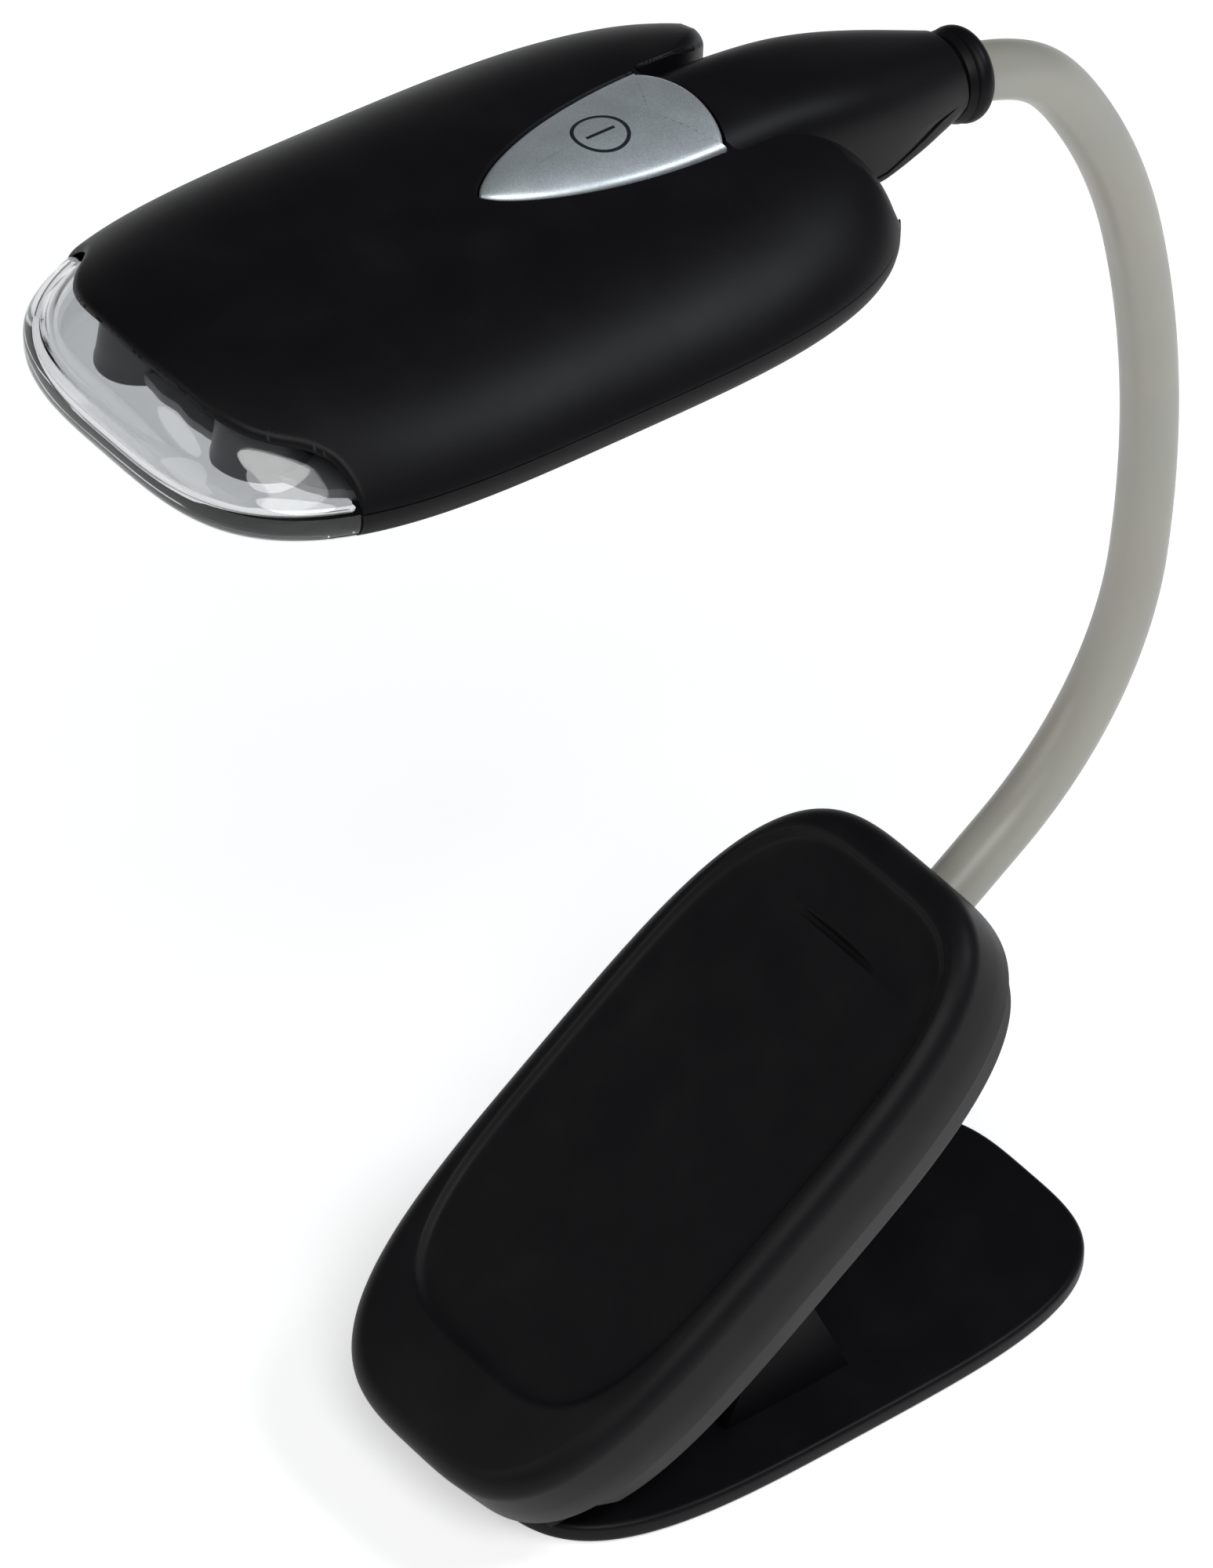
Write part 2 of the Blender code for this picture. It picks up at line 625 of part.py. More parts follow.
def make_neck_link(number, frame, finishes):
    """One stretch of the gooseneck: its covering tube and the bendable core inside it."""
    start = NECK_FIRST_JOINT + (number - 2) * NECK_JOINT_SPACING + NECK_JOINT_GAP / 2
    end = NECK_FIRST_JOINT + (number - 1) * NECK_JOINT_SPACING - NECK_JOINT_GAP / 2
    if number == 1:
        start = -NECK_SEAT
    if number == NECK_JOINTS + 1:
        end = NECK_LENGTH + NECK_TAIL
    steps = 4 if number in (1, NECK_JOINTS + 1) else 3
    stops = [start + (end - start) * step / steps for step in range(steps + 1)]
    outer = [neck_ring(stop, NECK_RADIUS, TUBE_SIDES) for stop in stops]
    inner = [neck_ring(stop, NECK_BORE_RADIUS, TUBE_SIDES) for stop in reversed(stops)]
    tube = add_mesh(f"neck_tube_{number}", lambda: loft(outer + inner, closed=True), finishes["tube"], None)
    core = [neck_ring(stop, NECK_CORE_RADIUS, 6) for stop in stops]
    wire = add_mesh(f"neck_core_{number}", lambda: loft(core), finishes["steel"], None)
    keep_place(tube, frame)
    keep_place(wire, frame)


# ---------------------------------------------------------------- head
def head_ring(share, wall=0.0, split=0.0):
    """A ring of the head's crowned top: share 0 is the parting line and 1 is the middle of the crown."""
    height = HEAD_CROWN * (1 - (1 - share) ** 3) ** 0.75 - wall
    half_length = HALF_LENGTH - HEAD_NOSE_LEAN * share**1.5 - wall
    half_width = HALF_WIDTH * (1 - share) - wall
    return superellipse(half_length, half_width, HEAD_SQUARENESS, max(height, split))


def floor_ring(inset, height):
    """A ring of the head's shallow underside."""
    return superellipse(HALF_LENGTH - inset, HALF_WIDTH - inset, HEAD_SQUARENESS, height)


def nose_line(across, setback=0.0):
    """How far forward the top shell reaches at a distance from the middle."""
    sweep = min(abs(across) / NOSE_SWEEP_SPAN, 1.0) ** 2.4
    return -(NOSE_REACH - NOSE_SWEEP * sweep) - setback


def nose_prism(setback):
    """The space in front of the shells, which the lens fills."""
    reach = HEAD_WIDTH
    stops = [NOSE_SWEEP_SPAN * step / 5 for step in range(-5, 6)]
    outline = [(-HEAD_LENGTH, -reach), (nose_line(reach, setback), -reach)]
    outline += [(nose_line(stop, setback), stop) for stop in stops]
    outline += [(nose_line(reach, setback), reach), (-HEAD_LENGTH, reach)]
    return prism(outline, -HEAD_LENGTH, HEAD_LENGTH)


def button_outline(grow=0.0):
    """The bullet shape of the power button, pointing forward."""
    nose = BUTTON_LENGTH - 7.0
    centre = BUTTON_TIP + nose
    outline = []
    for step in range(-8, 9):
        turn = math.pi / 2 * step / 8
        x = centre - (nose + grow) * math.cos(turn) ** 0.95
        outline.append((x, (BUTTON_HALF_WIDTH + grow) * math.sin(turn)))
    rear = BUTTON_TIP + BUTTON_LENGTH
    for step in range(4, -5, -1):
        across = step / 4
        x = rear + grow + BUTTON_REAR_BULGE * (1 - across**2)
        outline.append((x, (BUTTON_HALF_WIDTH + grow) * across))
    return outline


def make_shells(head, finishes):
    """The crowned top shell, the shallow floor pan and the clear nose between their front edges."""
    shares = (0.0, 0.05, 0.13, 0.22, 0.34, 0.5, 0.7)
    outer = [floor_ring(0, SNUG / 2)] + [head_ring(share) for share in shares[1:]]
    inner = [head_ring(share, TOP_WALL) for share in (0.7, 0.5, 0.34, 0.2)]
    inner.append(floor_ring(TOP_WALL, SNUG / 2))
    top = add_mesh("head_top_shell", lambda: loft(inner + outer), finishes["black"], head)

    pan = [
        floor_ring(TOP_WALL, -SNUG / 2),
        floor_ring(TOP_WALL + 0.4, HEAD_FLOOR),
    ]
    under = [
        floor_ring(1.5, -HEAD_FLOOR_DEPTH),
        floor_ring(0.35, 0.6 * -HEAD_FLOOR_DEPTH),
        floor_ring(0, -SNUG / 2),
    ]
    floor = add_mesh("head_floor", lambda: loft(pan[::-1] + under[::-1]), finishes["black"], head)

    whole = [under[0], under[1], floor_ring(0, 0)] + outer[1:]
    hollow = [
        floor_ring(1.5 + LENS_WALL, LENS_WALL - HEAD_FLOOR_DEPTH),
        floor_ring(LENS_WALL, 0),
    ] + [head_ring(share, LENS_WALL) for share in (0.2, 0.34, 0.5, 0.7)]
    lens = add_mesh("front_lens", lambda: loft(whole), finishes["clear"], head)
    front = add_mesh("lens_bound", lambda: nose_prism(FIT), None, head)
    combine(lens, front, "INTERSECT")
    combine(lens, add_mesh("lens_hollow", lambda: loft(hollow), None, head), "DIFFERENCE")
    nose = add_mesh("nose_cut", lambda: nose_prism(0), None, head)
    combine(top, nose, "DIFFERENCE")
    combine(floor, nose, "DIFFERENCE")

    width = BARREL_HALF_WIDTH + FIT
    low, high = (BARREL_START - FIT, -width, -HEAD_LENGTH), (HEAD_LENGTH, width, HEAD_LENGTH)
    slot = add_mesh("barrel_slot", lambda: box(low, high), None, head)
    combine(top, slot, "DIFFERENCE")
    combine(floor, slot, "DIFFERENCE")
    opening = add_mesh("button_opening", lambda: prism(button_outline(FIT), 0, HEAD_LENGTH), None, head)
    combine(top, opening, "DIFFERENCE")
    return top, floor


def make_screws(top, floor, head, finishes):
    """Four screws from below, the bosses they bite in and the holes they pass through."""
    number = 0
    for along, aside in BOSSES:
        for across in (-aside, aside):
            number += 1
            place = (along, across, 0)
            boss = ((BOSS_RADIUS, SNUG), (BOSS_RADIUS, BOSS_RISE))
            post = add_mesh(f"boss_{number}", lambda: turned(boss, SMALL_SIDES), None, head, place)
            combine(top, post, "UNION")
            cut_hole(top, f"boss_hole_{number}", head, place, SCREW_RADIUS + SNUG, 2 * SCREW_REACH + 2 * FIT)
            cut_hole(floor, f"floor_hole_{number}", head, place, SCREW_RADIUS + FIT, 4 * HEAD_FLOOR_DEPTH)
            seat = (along, across, -HEAD_FLOOR_DEPTH)
            cut_hole(
                floor, f"floor_seat_{number}", head, seat, SCREW_HEAD_RADIUS + FIT, 2 * SCREW_SEAT_DEPTH
            )
            shoulder = SCREW_SEAT_DEPTH - SNUG - HEAD_FLOOR_DEPTH
            profile = (
                (0.8 * SCREW_HEAD_RADIUS, SNUG / 2 - HEAD_FLOOR_DEPTH),
                (SCREW_HEAD_RADIUS, shoulder),
                (SCREW_RADIUS, shoulder),
                (SCREW_RADIUS, SCREW_REACH),
                (0.5 * SCREW_RADIUS, SCREW_REACH + SNUG),
            )
            add_mesh(
                f"head_screw_{number}", lambda: turned(profile, SMALL_SIDES), finishes["steel"], head, place
            )


def to_head(head, point):
    """A world point in millimetres, given in the head's own frame."""
    bpy.context.view_layer.update()
    return (head.matrix_world.inverted() @ (point * MM)) / MM


def collar_pose(head):
    """The middle of the collar in the head's frame, and how far the gooseneck leans there."""
    inside, _ = NECK_BENDS[-1]
    middle, heading = neck_point(NECK_LENGTH - inside + COLLAR_WIDTH / 2)
    return to_head(head, middle), math.pi - heading - math.radians(HEAD_PITCH)


def barrel_sections(head):
    """The barrel's stations: place along the head, centre height, half width, rise, fall and bore."""
    stations = []
    neck = []
    for step in range(41):
        distance = NECK_LENGTH - 12.0 + 0.7 * step
        point, heading = neck_point(distance)
        neck.append((to_head(head, point), heading))
    middle, lean = collar_pose(head)
    end = middle.x - COLLAR_WIDTH / 2 - COLLAR_RADIUS * math.sin(lean / 2) - SNUG
    for share in (0.0, 0.25, 0.5, 0.68, 0.84, 1.0):
        x = BARREL_START + (end - BARREL_START) * share
        before, heading = min(neck, key=lambda item: abs(item[0].x - x))
        taper = max(0.0, (share - 0.3) / 0.7) ** 1.5
        half_width = BARREL_HALF_WIDTH + (BARREL_TIP_RADIUS - BARREL_HALF_WIDTH) * taper
        rise = BARREL_RISE + (BARREL_TIP_RADIUS - BARREL_RISE) * taper
        fall = BARREL_FALL + (BARREL_TIP_RADIUS - BARREL_FALL) * taper
        lean = math.pi - heading - math.radians(HEAD_PITCH)
        bore = NECK_BORE_FIT / math.cos(lean) + SNUG
        stations.append((x, before.z, half_width, rise, fall, bore))
    return stations


def half_barrel(stations, side):
    """Half of the barrel above (side 1) or below (side -1) the gooseneck's centre line."""
    rings = []
    for x, centre, half_width, rise, fall, bore in stations:
        height = rise if side > 0 else fall
        ring = []
        for step in range(11):
            turn = math.pi * step / 10
            z = centre + side * (SNUG / 2 + height * math.sin(turn))
            ring.append((x, half_width * math.cos(turn), z))
        for step in range(10, -1, -1):
            turn = math.pi * step / 10
            z = centre + side * (SNUG / 2 + bore * math.sin(turn))
            ring.append((x, bore * math.cos(turn), z))
        rings.append(ring)
    return loft(rings)


def make_barrel(head, finishes):
    """The two halves of the barrel, their screws and the collar at the mouth."""
    stations = barrel_sections(head)
    flange_x = BARREL_START - FIT - SNUG
    _, centre, half_width, rise, fall, bore = stations[0]
    low_fall = BARREL_FLANGE_FALL
    flange = [
        (flange_x - BARREL_FLANGE, centre, half_width + BARREL_FLANGE, rise, low_fall, bore),
        (flange_x, centre, half_width + BARREL_FLANGE, rise, low_fall, bore),
        (flange_x + SNUG, centre, half_width, rise, low_fall, bore),
        (BARREL_START - SNUG / 2, centre, half_width, rise, low_fall, bore),
    ]
    upper = add_mesh("barrel_upper", lambda: half_barrel(stations, 1), finishes["black"], head)
    lower = add_mesh("barrel_lower", lambda: half_barrel(flange + stations, -1), finishes["black"], head)
    hole_radius = BARREL_SCREW_RADIUS + SNUG
    blind_depth = BARREL_SCREW_BITE + FIT + SNUG
    for number, across in ((1, -BARREL_SCREW_ACROSS), (2, BARREL_SCREW_ACROSS)):
        place = (BARREL_START + BARREL_SCREW_ALONG, across, centre)
        cut_hole(upper, f"barrel_blind_{number}", head, place, hole_radius, 2 * blind_depth)
        cut_hole(lower, f"barrel_hole_{number}", head, place, hole_radius, 4 * BARREL_FALL)
        profile = (
            (BARREL_SCREW_RADIUS, -BARREL_FALL / 2),
            (BARREL_SCREW_RADIUS, BARREL_SCREW_BITE),
            (0.5 * BARREL_SCREW_RADIUS, BARREL_SCREW_BITE + SNUG),
        )
        add_mesh(
            f"barrel_screw_{number}", lambda: turned(profile, SMALL_SIDES), finishes["steel"], head, place
        )
    middle, lean = collar_pose(head)
    bore = NECK_BORE_FIT / math.cos(lean / 2) + 2 * SNUG
    half = COLLAR_WIDTH / 2
    ring = (
        (bore, -half),
        (BARREL_TIP_RADIUS, -half),
        (COLLAR_RADIUS, -0.4 * half),
        (COLLAR_RADIUS, 0.5 * half),
        (0.93 * COLLAR_RADIUS, half),
        (bore, half),
    )
    lengthwise = (0, math.pi / 2 + lean / 2, 0)
    collar = turned(ring, COLLAR_SIDES, closed=True)
    add_mesh("collar_ring", lambda: collar, finishes["black"], head, middle, lengthwise)


def make_button(head, button, finishes):
    """The silver button, whose stem slides in the switch under it."""
    outline = button_outline()
    middle = BUTTON_TIP + 0.6 * BUTTON_LENGTH
    rings = []
    for shrink, drop in ((0.0, BUTTON_SKIRT), *BUTTON_CROWN):
        height = BUTTON_TOP - drop
        rings.append([(x + (middle - x) * shrink, y * (1 - shrink), height) for x, y in outline])
    cap = add_mesh("power_button", lambda: loft(rings), finishes["silver"], button)
    stem = ((STEM_RADIUS, SWITCH_TOP - STEM_ENGAGEMENT), (STEM_RADIUS, BUTTON_TOP - BUTTON_SKIRT / 2))
    rod = add_mesh("button_stem", lambda: turned(stem), None, button, (STEM_ALONG, 0, 0))
    combine(cap, rod, "UNION")
    half = SWITCH_SIZE / 2
    low = (STEM_ALONG - half, -half, BOARD_TOP + SNUG)
    high = (STEM_ALONG + half, half, SWITCH_TOP)
    switch = add_mesh("power_switch", lambda: box(low, high), finishes["inner"], head)
    mouth = (STEM_ALONG, 0, SWITCH_TOP)
    cut_hole(switch, "switch_well", head, mouth, STEM_RADIUS + FIT, 2 * SWITCH_WELL_DEPTH, "Z", ROUND_SIDES)


def make_optics(head, finishes):
    """The board and the two LEDs in their reflector cups."""
    low = (BOARD_FRONT, -BOARD_WIDTH / 2, BOARD_TOP - BOARD_THICKNESS)
    high = (BOARD_FRONT + BOARD_LENGTH, BOARD_WIDTH / 2, BOARD_TOP)
    add_mesh("led_board", lambda: box(low, high), finishes["board"], head)
    led = (
        (1.1 * LED_RADIUS, 0),
        (1.1 * LED_RADIUS, 0.8),
        (LED_RADIUS, 0.8),
        (LED_RADIUS, LED_LENGTH - LED_RADIUS),
        (0.8 * LED_RADIUS, LED_LENGTH - 0.4 * LED_RADIUS),
        (0.3 * LED_RADIUS, LED_LENGTH),
    )
    back = 1.1 * LED_RADIUS + SNUG
    cup = (
        (back, 0),
        (back + 0.5, 0),
        (CUP_RADIUS, CUP_LENGTH),
        (CUP_RADIUS - 0.5, CUP_LENGTH),
    )
    forward = (0, -math.pi / 2, 0)
    base = CUP_FRONT + CUP_LENGTH
    for name, across in (("left", -LED_SPACING / 2), ("right", LED_SPACING / 2)):
        place = (base, across, CUP_HEIGHT)
        add_mesh(f"led_{name}", lambda: turned(led), finishes["led"], head, place, forward)
        add_mesh(
            f"reflector_{name}", lambda: turned(cup, closed=True), finishes["mirror"], head, place, forward
        )


def make_lead(head, finishes):
    """The lead from the end of the gooseneck to the board."""
    end, _ = neck_point(NECK_LENGTH + NECK_TAIL + 1.0)
    start = to_head(head, end)
    route = (
        start,
        (38, 0, start.z),
        (31, 0.4, 2.8),
        (25.5, 1.6, 2.2),
        (21.5, 5.2, 0.9),
        (17, 7.5, 0.2),
        (12, 8.5, BOARD_TOP + 0.7),
    )
    add_wire("head_lead", route, 0.5, finishes["wire"], head)


# ---------------------------------------------------------------- the lamp
def clear_scene():
    """Removes whatever the scene holds."""
    for found in list(bpy.data.objects):
        bpy.data.objects.remove(found, do_unlink=True)


def build():
    """Builds every piece of the lamp at rest."""
    clear_scene()
    finishes = make_materials()
    root = add_frame("clip_plate_frame")
    hinge = add_frame("clip_hinge_axis", root, (PIN_X, 0, PIN_Z), TILT)
    housing = add_frame("housing_frame", hinge, (HINGE_ALONG, 0, HINGE_DROP))
    cover = add_frame("cover_frame", housing)
    make_plate(root, finishes)
    make_pin(root, finishes)
    make_spring(root, finishes)
    make_jaw_pads(root, hinge, finishes)
    make_tray(root, housing, finishes)
    make_cover(housing, cover, finishes)
    make_cells(housing, finishes)

    link = housing
    make_neck_link(1, link, finishes)
    for number in range(2, NECK_JOINTS + 2):
        centre, heading = neck_point(NECK_FIRST_JOINT + (number - 2) * NECK_JOINT_SPACING)
        joint = add_frame(f"neck_joint_{number - 1}", None, centre, math.degrees(heading))
        keep_place(joint, link)
        make_neck_link(number, joint, finishes)
        link = joint

    end, _ = neck_point(NECK_LENGTH)
    head = add_frame("head_frame", None, (0, 0, 0), -HEAD_PITCH)
    bpy.context.view_layer.update()
    inside, _ = NECK_BENDS[-1]
    mouth = Vector((BARREL_END + COLLAR_WIDTH - inside, 0, NECK_END_HEIGHT)) * MM
    head.location = end * MM - head.matrix_world.to_3x3() @ mouth
    keep_place(head, link)
    button = add_frame("button_frame", head)
    top, floor = make_shells(head, finishes)
    make_screws(top, floor, head, finishes)
    make_barrel(head, finishes)
    make_button(head, button, finishes)
    make_optics(head, finishes)
    make_lead(head, finishes)


build()
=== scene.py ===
"""Looks of the clip-on reading lamp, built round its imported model.

Each sub-assembly keeps its sizes in millimetres in a frame of its own, and a Placement carries its meshes
to the model's metres. The clip's frame lies on the battery housing's rim plane, and the head's on its
parting line.
"""

import json
import logging
import math
from collections.abc import Callable, Iterable, Sequence
from dataclasses import dataclass, field
from enum import Enum

import bmesh
import bpy
import numpy as np
from mathutils import Matrix, Vector
from mathutils.geometry import delaunay_2d_cdt


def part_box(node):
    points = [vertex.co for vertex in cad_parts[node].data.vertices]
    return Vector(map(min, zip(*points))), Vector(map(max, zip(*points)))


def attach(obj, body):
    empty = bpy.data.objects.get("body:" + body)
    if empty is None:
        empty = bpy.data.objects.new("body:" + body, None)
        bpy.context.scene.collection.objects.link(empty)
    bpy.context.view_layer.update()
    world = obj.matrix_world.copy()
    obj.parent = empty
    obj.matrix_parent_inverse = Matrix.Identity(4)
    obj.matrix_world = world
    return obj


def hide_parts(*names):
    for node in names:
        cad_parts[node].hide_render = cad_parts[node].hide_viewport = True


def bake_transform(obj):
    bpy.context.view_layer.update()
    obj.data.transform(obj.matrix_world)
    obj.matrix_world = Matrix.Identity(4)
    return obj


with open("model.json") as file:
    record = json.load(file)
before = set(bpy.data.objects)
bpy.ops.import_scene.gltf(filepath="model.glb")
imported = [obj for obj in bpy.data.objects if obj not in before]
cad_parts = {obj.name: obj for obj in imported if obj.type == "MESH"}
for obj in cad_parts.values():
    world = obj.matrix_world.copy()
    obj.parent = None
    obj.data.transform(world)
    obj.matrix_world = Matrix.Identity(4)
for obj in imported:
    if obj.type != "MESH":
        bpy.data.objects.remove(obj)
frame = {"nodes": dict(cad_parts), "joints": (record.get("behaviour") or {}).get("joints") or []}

MM = 0.001
RING_POINTS = 200
LOG = logging.getLogger("reading_lamp")

Node = bpy.types.Node
Socket = bpy.types.NodeSocket
Work = bmesh.types.BMesh
Pair = tuple[float, float]
Point = tuple[float, float, float]
Ring = list[Point]
Color = tuple[float, float, float]


class Body(Enum):
    """The bodies of the model that pieces ride on."""

    BASE = "base"
    HOUSING = "housing"
    COVER = "cover"
    HEAD = "head"
    BUTTON = "button"


class Axis(Enum):
    """The way a turned piece points in its frame."""

    UP = "up"
    FORWARD = "forward"
    BACKWARD = "backward"
    ACROSS = "across"

    def matrix(self) -> Matrix:
        """The turn from +Z to this way."""
        turns = {
            Axis.UP: Matrix.Identity(4),
            Axis.FORWARD: Matrix.Rotation(-math.pi / 2, 4, "Y"),
            Axis.BACKWARD: Matrix.Rotation(math.pi / 2, 4, "Y"),
            Axis.ACROSS: Matrix.Rotation(math.pi / 2, 4, "X"),
        }
        return turns[self]


# ---------------------------------------------------------------- node trees
class NodeBench:
    """Short calls for laying out one node tree."""

    def __init__(self, tree: bpy.types.NodeTree) -> None:
        """Keeps the tree that the calls add to."""
        self.tree = tree

    def add(self, kind: str, **settings: object) -> Node:
        """Adds a node.

        Args:
            kind: The node's type without its ShaderNode prefix, or in full for a group's own nodes.
            settings: Attributes to set on it.

        Returns:
            The new node.
        """
        full = kind if kind.startswith("NodeGroup") else f"ShaderNode{kind}"
        node = self.tree.nodes.new(full)
        for name, value in settings.items():
            setattr(node, name, value)
        return node

    def join(self, source: Socket, target: Socket) -> None:
        """Links two sockets."""
        self.tree.links.new(source, target)

    def place(self) -> Socket:
        """The piece's own coordinates."""
        return self.add("TexCoord").outputs["Object"]

    def noise(
        self, scale: object, detail: float = 2.0, place: Socket | None = None, twist: float = 0.0
    ) -> Socket:
        """A noise over a piece.

        Args:
            scale: A socket or a number.
            detail: How many octaves it has.
            place: Its coordinates, or None for the piece's own.
            twist: How far it is distorted.

        Returns:
            The noise's strength.
        """
        node = self.add("TexNoise")
        self.join(place or self.place(), node.inputs["Vector"])
        for name, value in (("Scale", scale), ("Detail", detail), ("Distortion", twist)):
            self.feed(node.inputs[name], value)
        return node.outputs["Fac"]

    def math(self, operation: str, first: object, second: object = 0.0, clamp: bool = False) -> Socket:
        """A math node on two sockets or numbers.

        Args:
            operation: The node's operation.
            first: A socket or a number.
            second: A socket or a number.
            clamp: Whether the result stays between 0 and 1.

        Returns:
            The result's socket.
        """
        node = self.add("Math", operation=operation, use_clamp=clamp)
        for index, value in enumerate((first, second)):
            self.feed(node.inputs[index], value)
        return node.outputs[0]

    def feed(self, target: Socket, value: object) -> None:
        """Links a socket to the target, or sets a plain value on it."""
        if isinstance(value, Socket):
            self.join(value, target)
        else:
            target.default_value = value

    def ramp(self, value: Socket, low: float, high: float) -> Socket:
        """A smooth step from 0 at low to 1 at high."""
        node = self.add("MapRange", interpolation_type="SMOOTHSTEP")
        self.join(value, node.inputs["Value"])
        node.inputs["From Min"].default_value = low
        node.inputs["From Max"].default_value = high
        return node.outputs["Result"]

    def blend(self, share: object, first: object, second: object) -> Socket:
        """A mix of two colours.

        Args:
            share: How much of the second, as a socket or a number.
            first: A socket or an RGB colour.
            second: A socket or an RGB colour.

        Returns:
            The mixed colour's socket.
        """
        node = self.add("Mix", data_type="RGBA")
        self.feed(node.inputs[0], share)
        for index, value in ((6, first), (7, second)):
            self.feed(node.inputs[index], (*value, 1.0) if isinstance(value, tuple) else value)
        return node.outputs[2]


class Effect(Enum):
    """Surface effects that several finishes share. Each is one node group, built once."""

    GRAIN = "moulded_grain"
    EDGE_WEAR = "edge_wear"
    DUST = "settled_dust"
    SMUDGES = "handling_smudges"
    SCRATCHES = "hair_scratches"


@dataclass(frozen=True)
class EffectRecipe:
    """The sockets of an effect's group, and what fills its tree."""

    inputs: tuple[tuple[str, float], ...]
    outputs: tuple[str, ...]
    fill: Callable[[NodeBench, Node, Node], None]


def fill_grain(bench: NodeBench, inside: Node, outside: Node) -> None:
    """The spark-eroded grain of a moulded face: fine pits with a slow change across the piece."""
    fine = bench.noise(inside.outputs["Scale"], 3.0)
    cells = bench.add("TexVoronoi")
    bench.join(bench.place(), cells.inputs["Vector"])
    bench.join(bench.math("MULTIPLY", inside.outputs["Scale"], 1.7), cells.inputs["Scale"])
    height = bench.math("MULTIPLY_ADD", fine, 0.7)
    bench.join(bench.math("MULTIPLY", cells.outputs["Distance"], 0.3), height.node.inputs[2])
    bench.join(height, outside.inputs["Height"])
    bench.join(bench.noise(55.0), outside.inputs["Variation"])


def fill_edge_wear(bench: NodeBench, inside: Node, outside: Node) -> None:
    """Where sharp edges have been rubbed, broken up by noise."""
    sharp = bench.ramp(bench.add("NewGeometry").outputs["Pointiness"], 0.52, 0.6)
    patches = bench.ramp(bench.noise(inside.outputs["Patch scale"], 5.0), 0.4, 0.7)
    rubbed = bench.math("MULTIPLY", sharp, patches)
    bench.join(bench.math("MULTIPLY", rubbed, inside.outputs["Amount"], clamp=True), outside.inputs["Mask"])


def fill_dust(bench: NodeBench, inside: Node, outside: Node) -> None:
    """Specks and a thin film on faces that look upward."""
    normal = bench.add("SeparateXYZ")
    bench.join(bench.add("NewGeometry").outputs["Normal"], normal.inputs[0])
    specks = bench.ramp(bench.noise(2600.0), 0.7, 0.78)
    film = bench.ramp(bench.noise(120.0), 0.3, 1.2)
    speckled = bench.math("ADD", specks, film)
    upward = bench.math("MULTIPLY", speckled, bench.ramp(normal.outputs["Z"], 0.2, 0.9))
    bench.join(bench.math("MULTIPLY", upward, inside.outputs["Amount"], clamp=True), outside.inputs["Mask"])


def fill_smudges(bench: NodeBench, inside: Node, outside: Node) -> None:
    """Soft patches left by fingers, which change the gloss a little."""
    patches = bench.noise(inside.outputs["Scale"], 4.0, twist=0.8)
    bench.join(bench.ramp(patches, 0.35, 0.75), outside.inputs["Mask"])


def fill_scratches(bench: NodeBench, inside: Node, outside: Node) -> None:
    """Fine lines along the piece, from noise stretched the long way."""
    stretch = bench.add("Mapping")
    stretch.inputs["Scale"].default_value = (0.06, 1.0, 1.0)
    bench.join(bench.place(), stretch.inputs["Vector"])
    lines = bench.noise(inside.outputs["Scale"], 6.0, stretch.outputs["Vector"])
    bench.join(lines, outside.inputs["Height"])
    bench.join(bench.ramp(lines, 0.58, 0.66), outside.inputs["Mask"])


RECIPES = {
    Effect.GRAIN: EffectRecipe((("Scale", 3000.0),), ("Height", "Variation"), fill_grain),
    Effect.EDGE_WEAR: EffectRecipe((("Amount", 0.5), ("Patch scale", 900.0)), ("Mask",), fill_edge_wear),
    Effect.DUST: EffectRecipe((("Amount", 0.1),), ("Mask",), fill_dust),
    Effect.SMUDGES: EffectRecipe((("Scale", 90.0),), ("Mask",), fill_smudges),
    Effect.SCRATCHES: EffectRecipe((("Scale", 4000.0),), ("Height", "Mask"), fill_scratches),
}


def effect_group(effect: Effect) -> bpy.types.NodeTree:
    """The effect's node group, built on first use.

    Args:
        effect: Which effect.

    Returns:
        Its group, shared by every material.
    """
    found = bpy.data.node_groups.get(effect.value)
    if found:
        return found
    recipe = RECIPES[effect]
    tree = bpy.data.node_groups.new(effect.value, "ShaderNodeTree")
    for name, value in recipe.inputs:
        socket = tree.interface.new_socket(name, in_out="INPUT", socket_type="NodeSocketFloat")
        socket.default_value = value
    for name in recipe.outputs:
        tree.interface.new_socket(name, in_out="OUTPUT", socket_type="NodeSocketFloat")
    bench = NodeBench(tree)
    recipe.fill(bench, bench.add("NodeGroupInput"), bench.add("NodeGroupOutput"))
    return tree


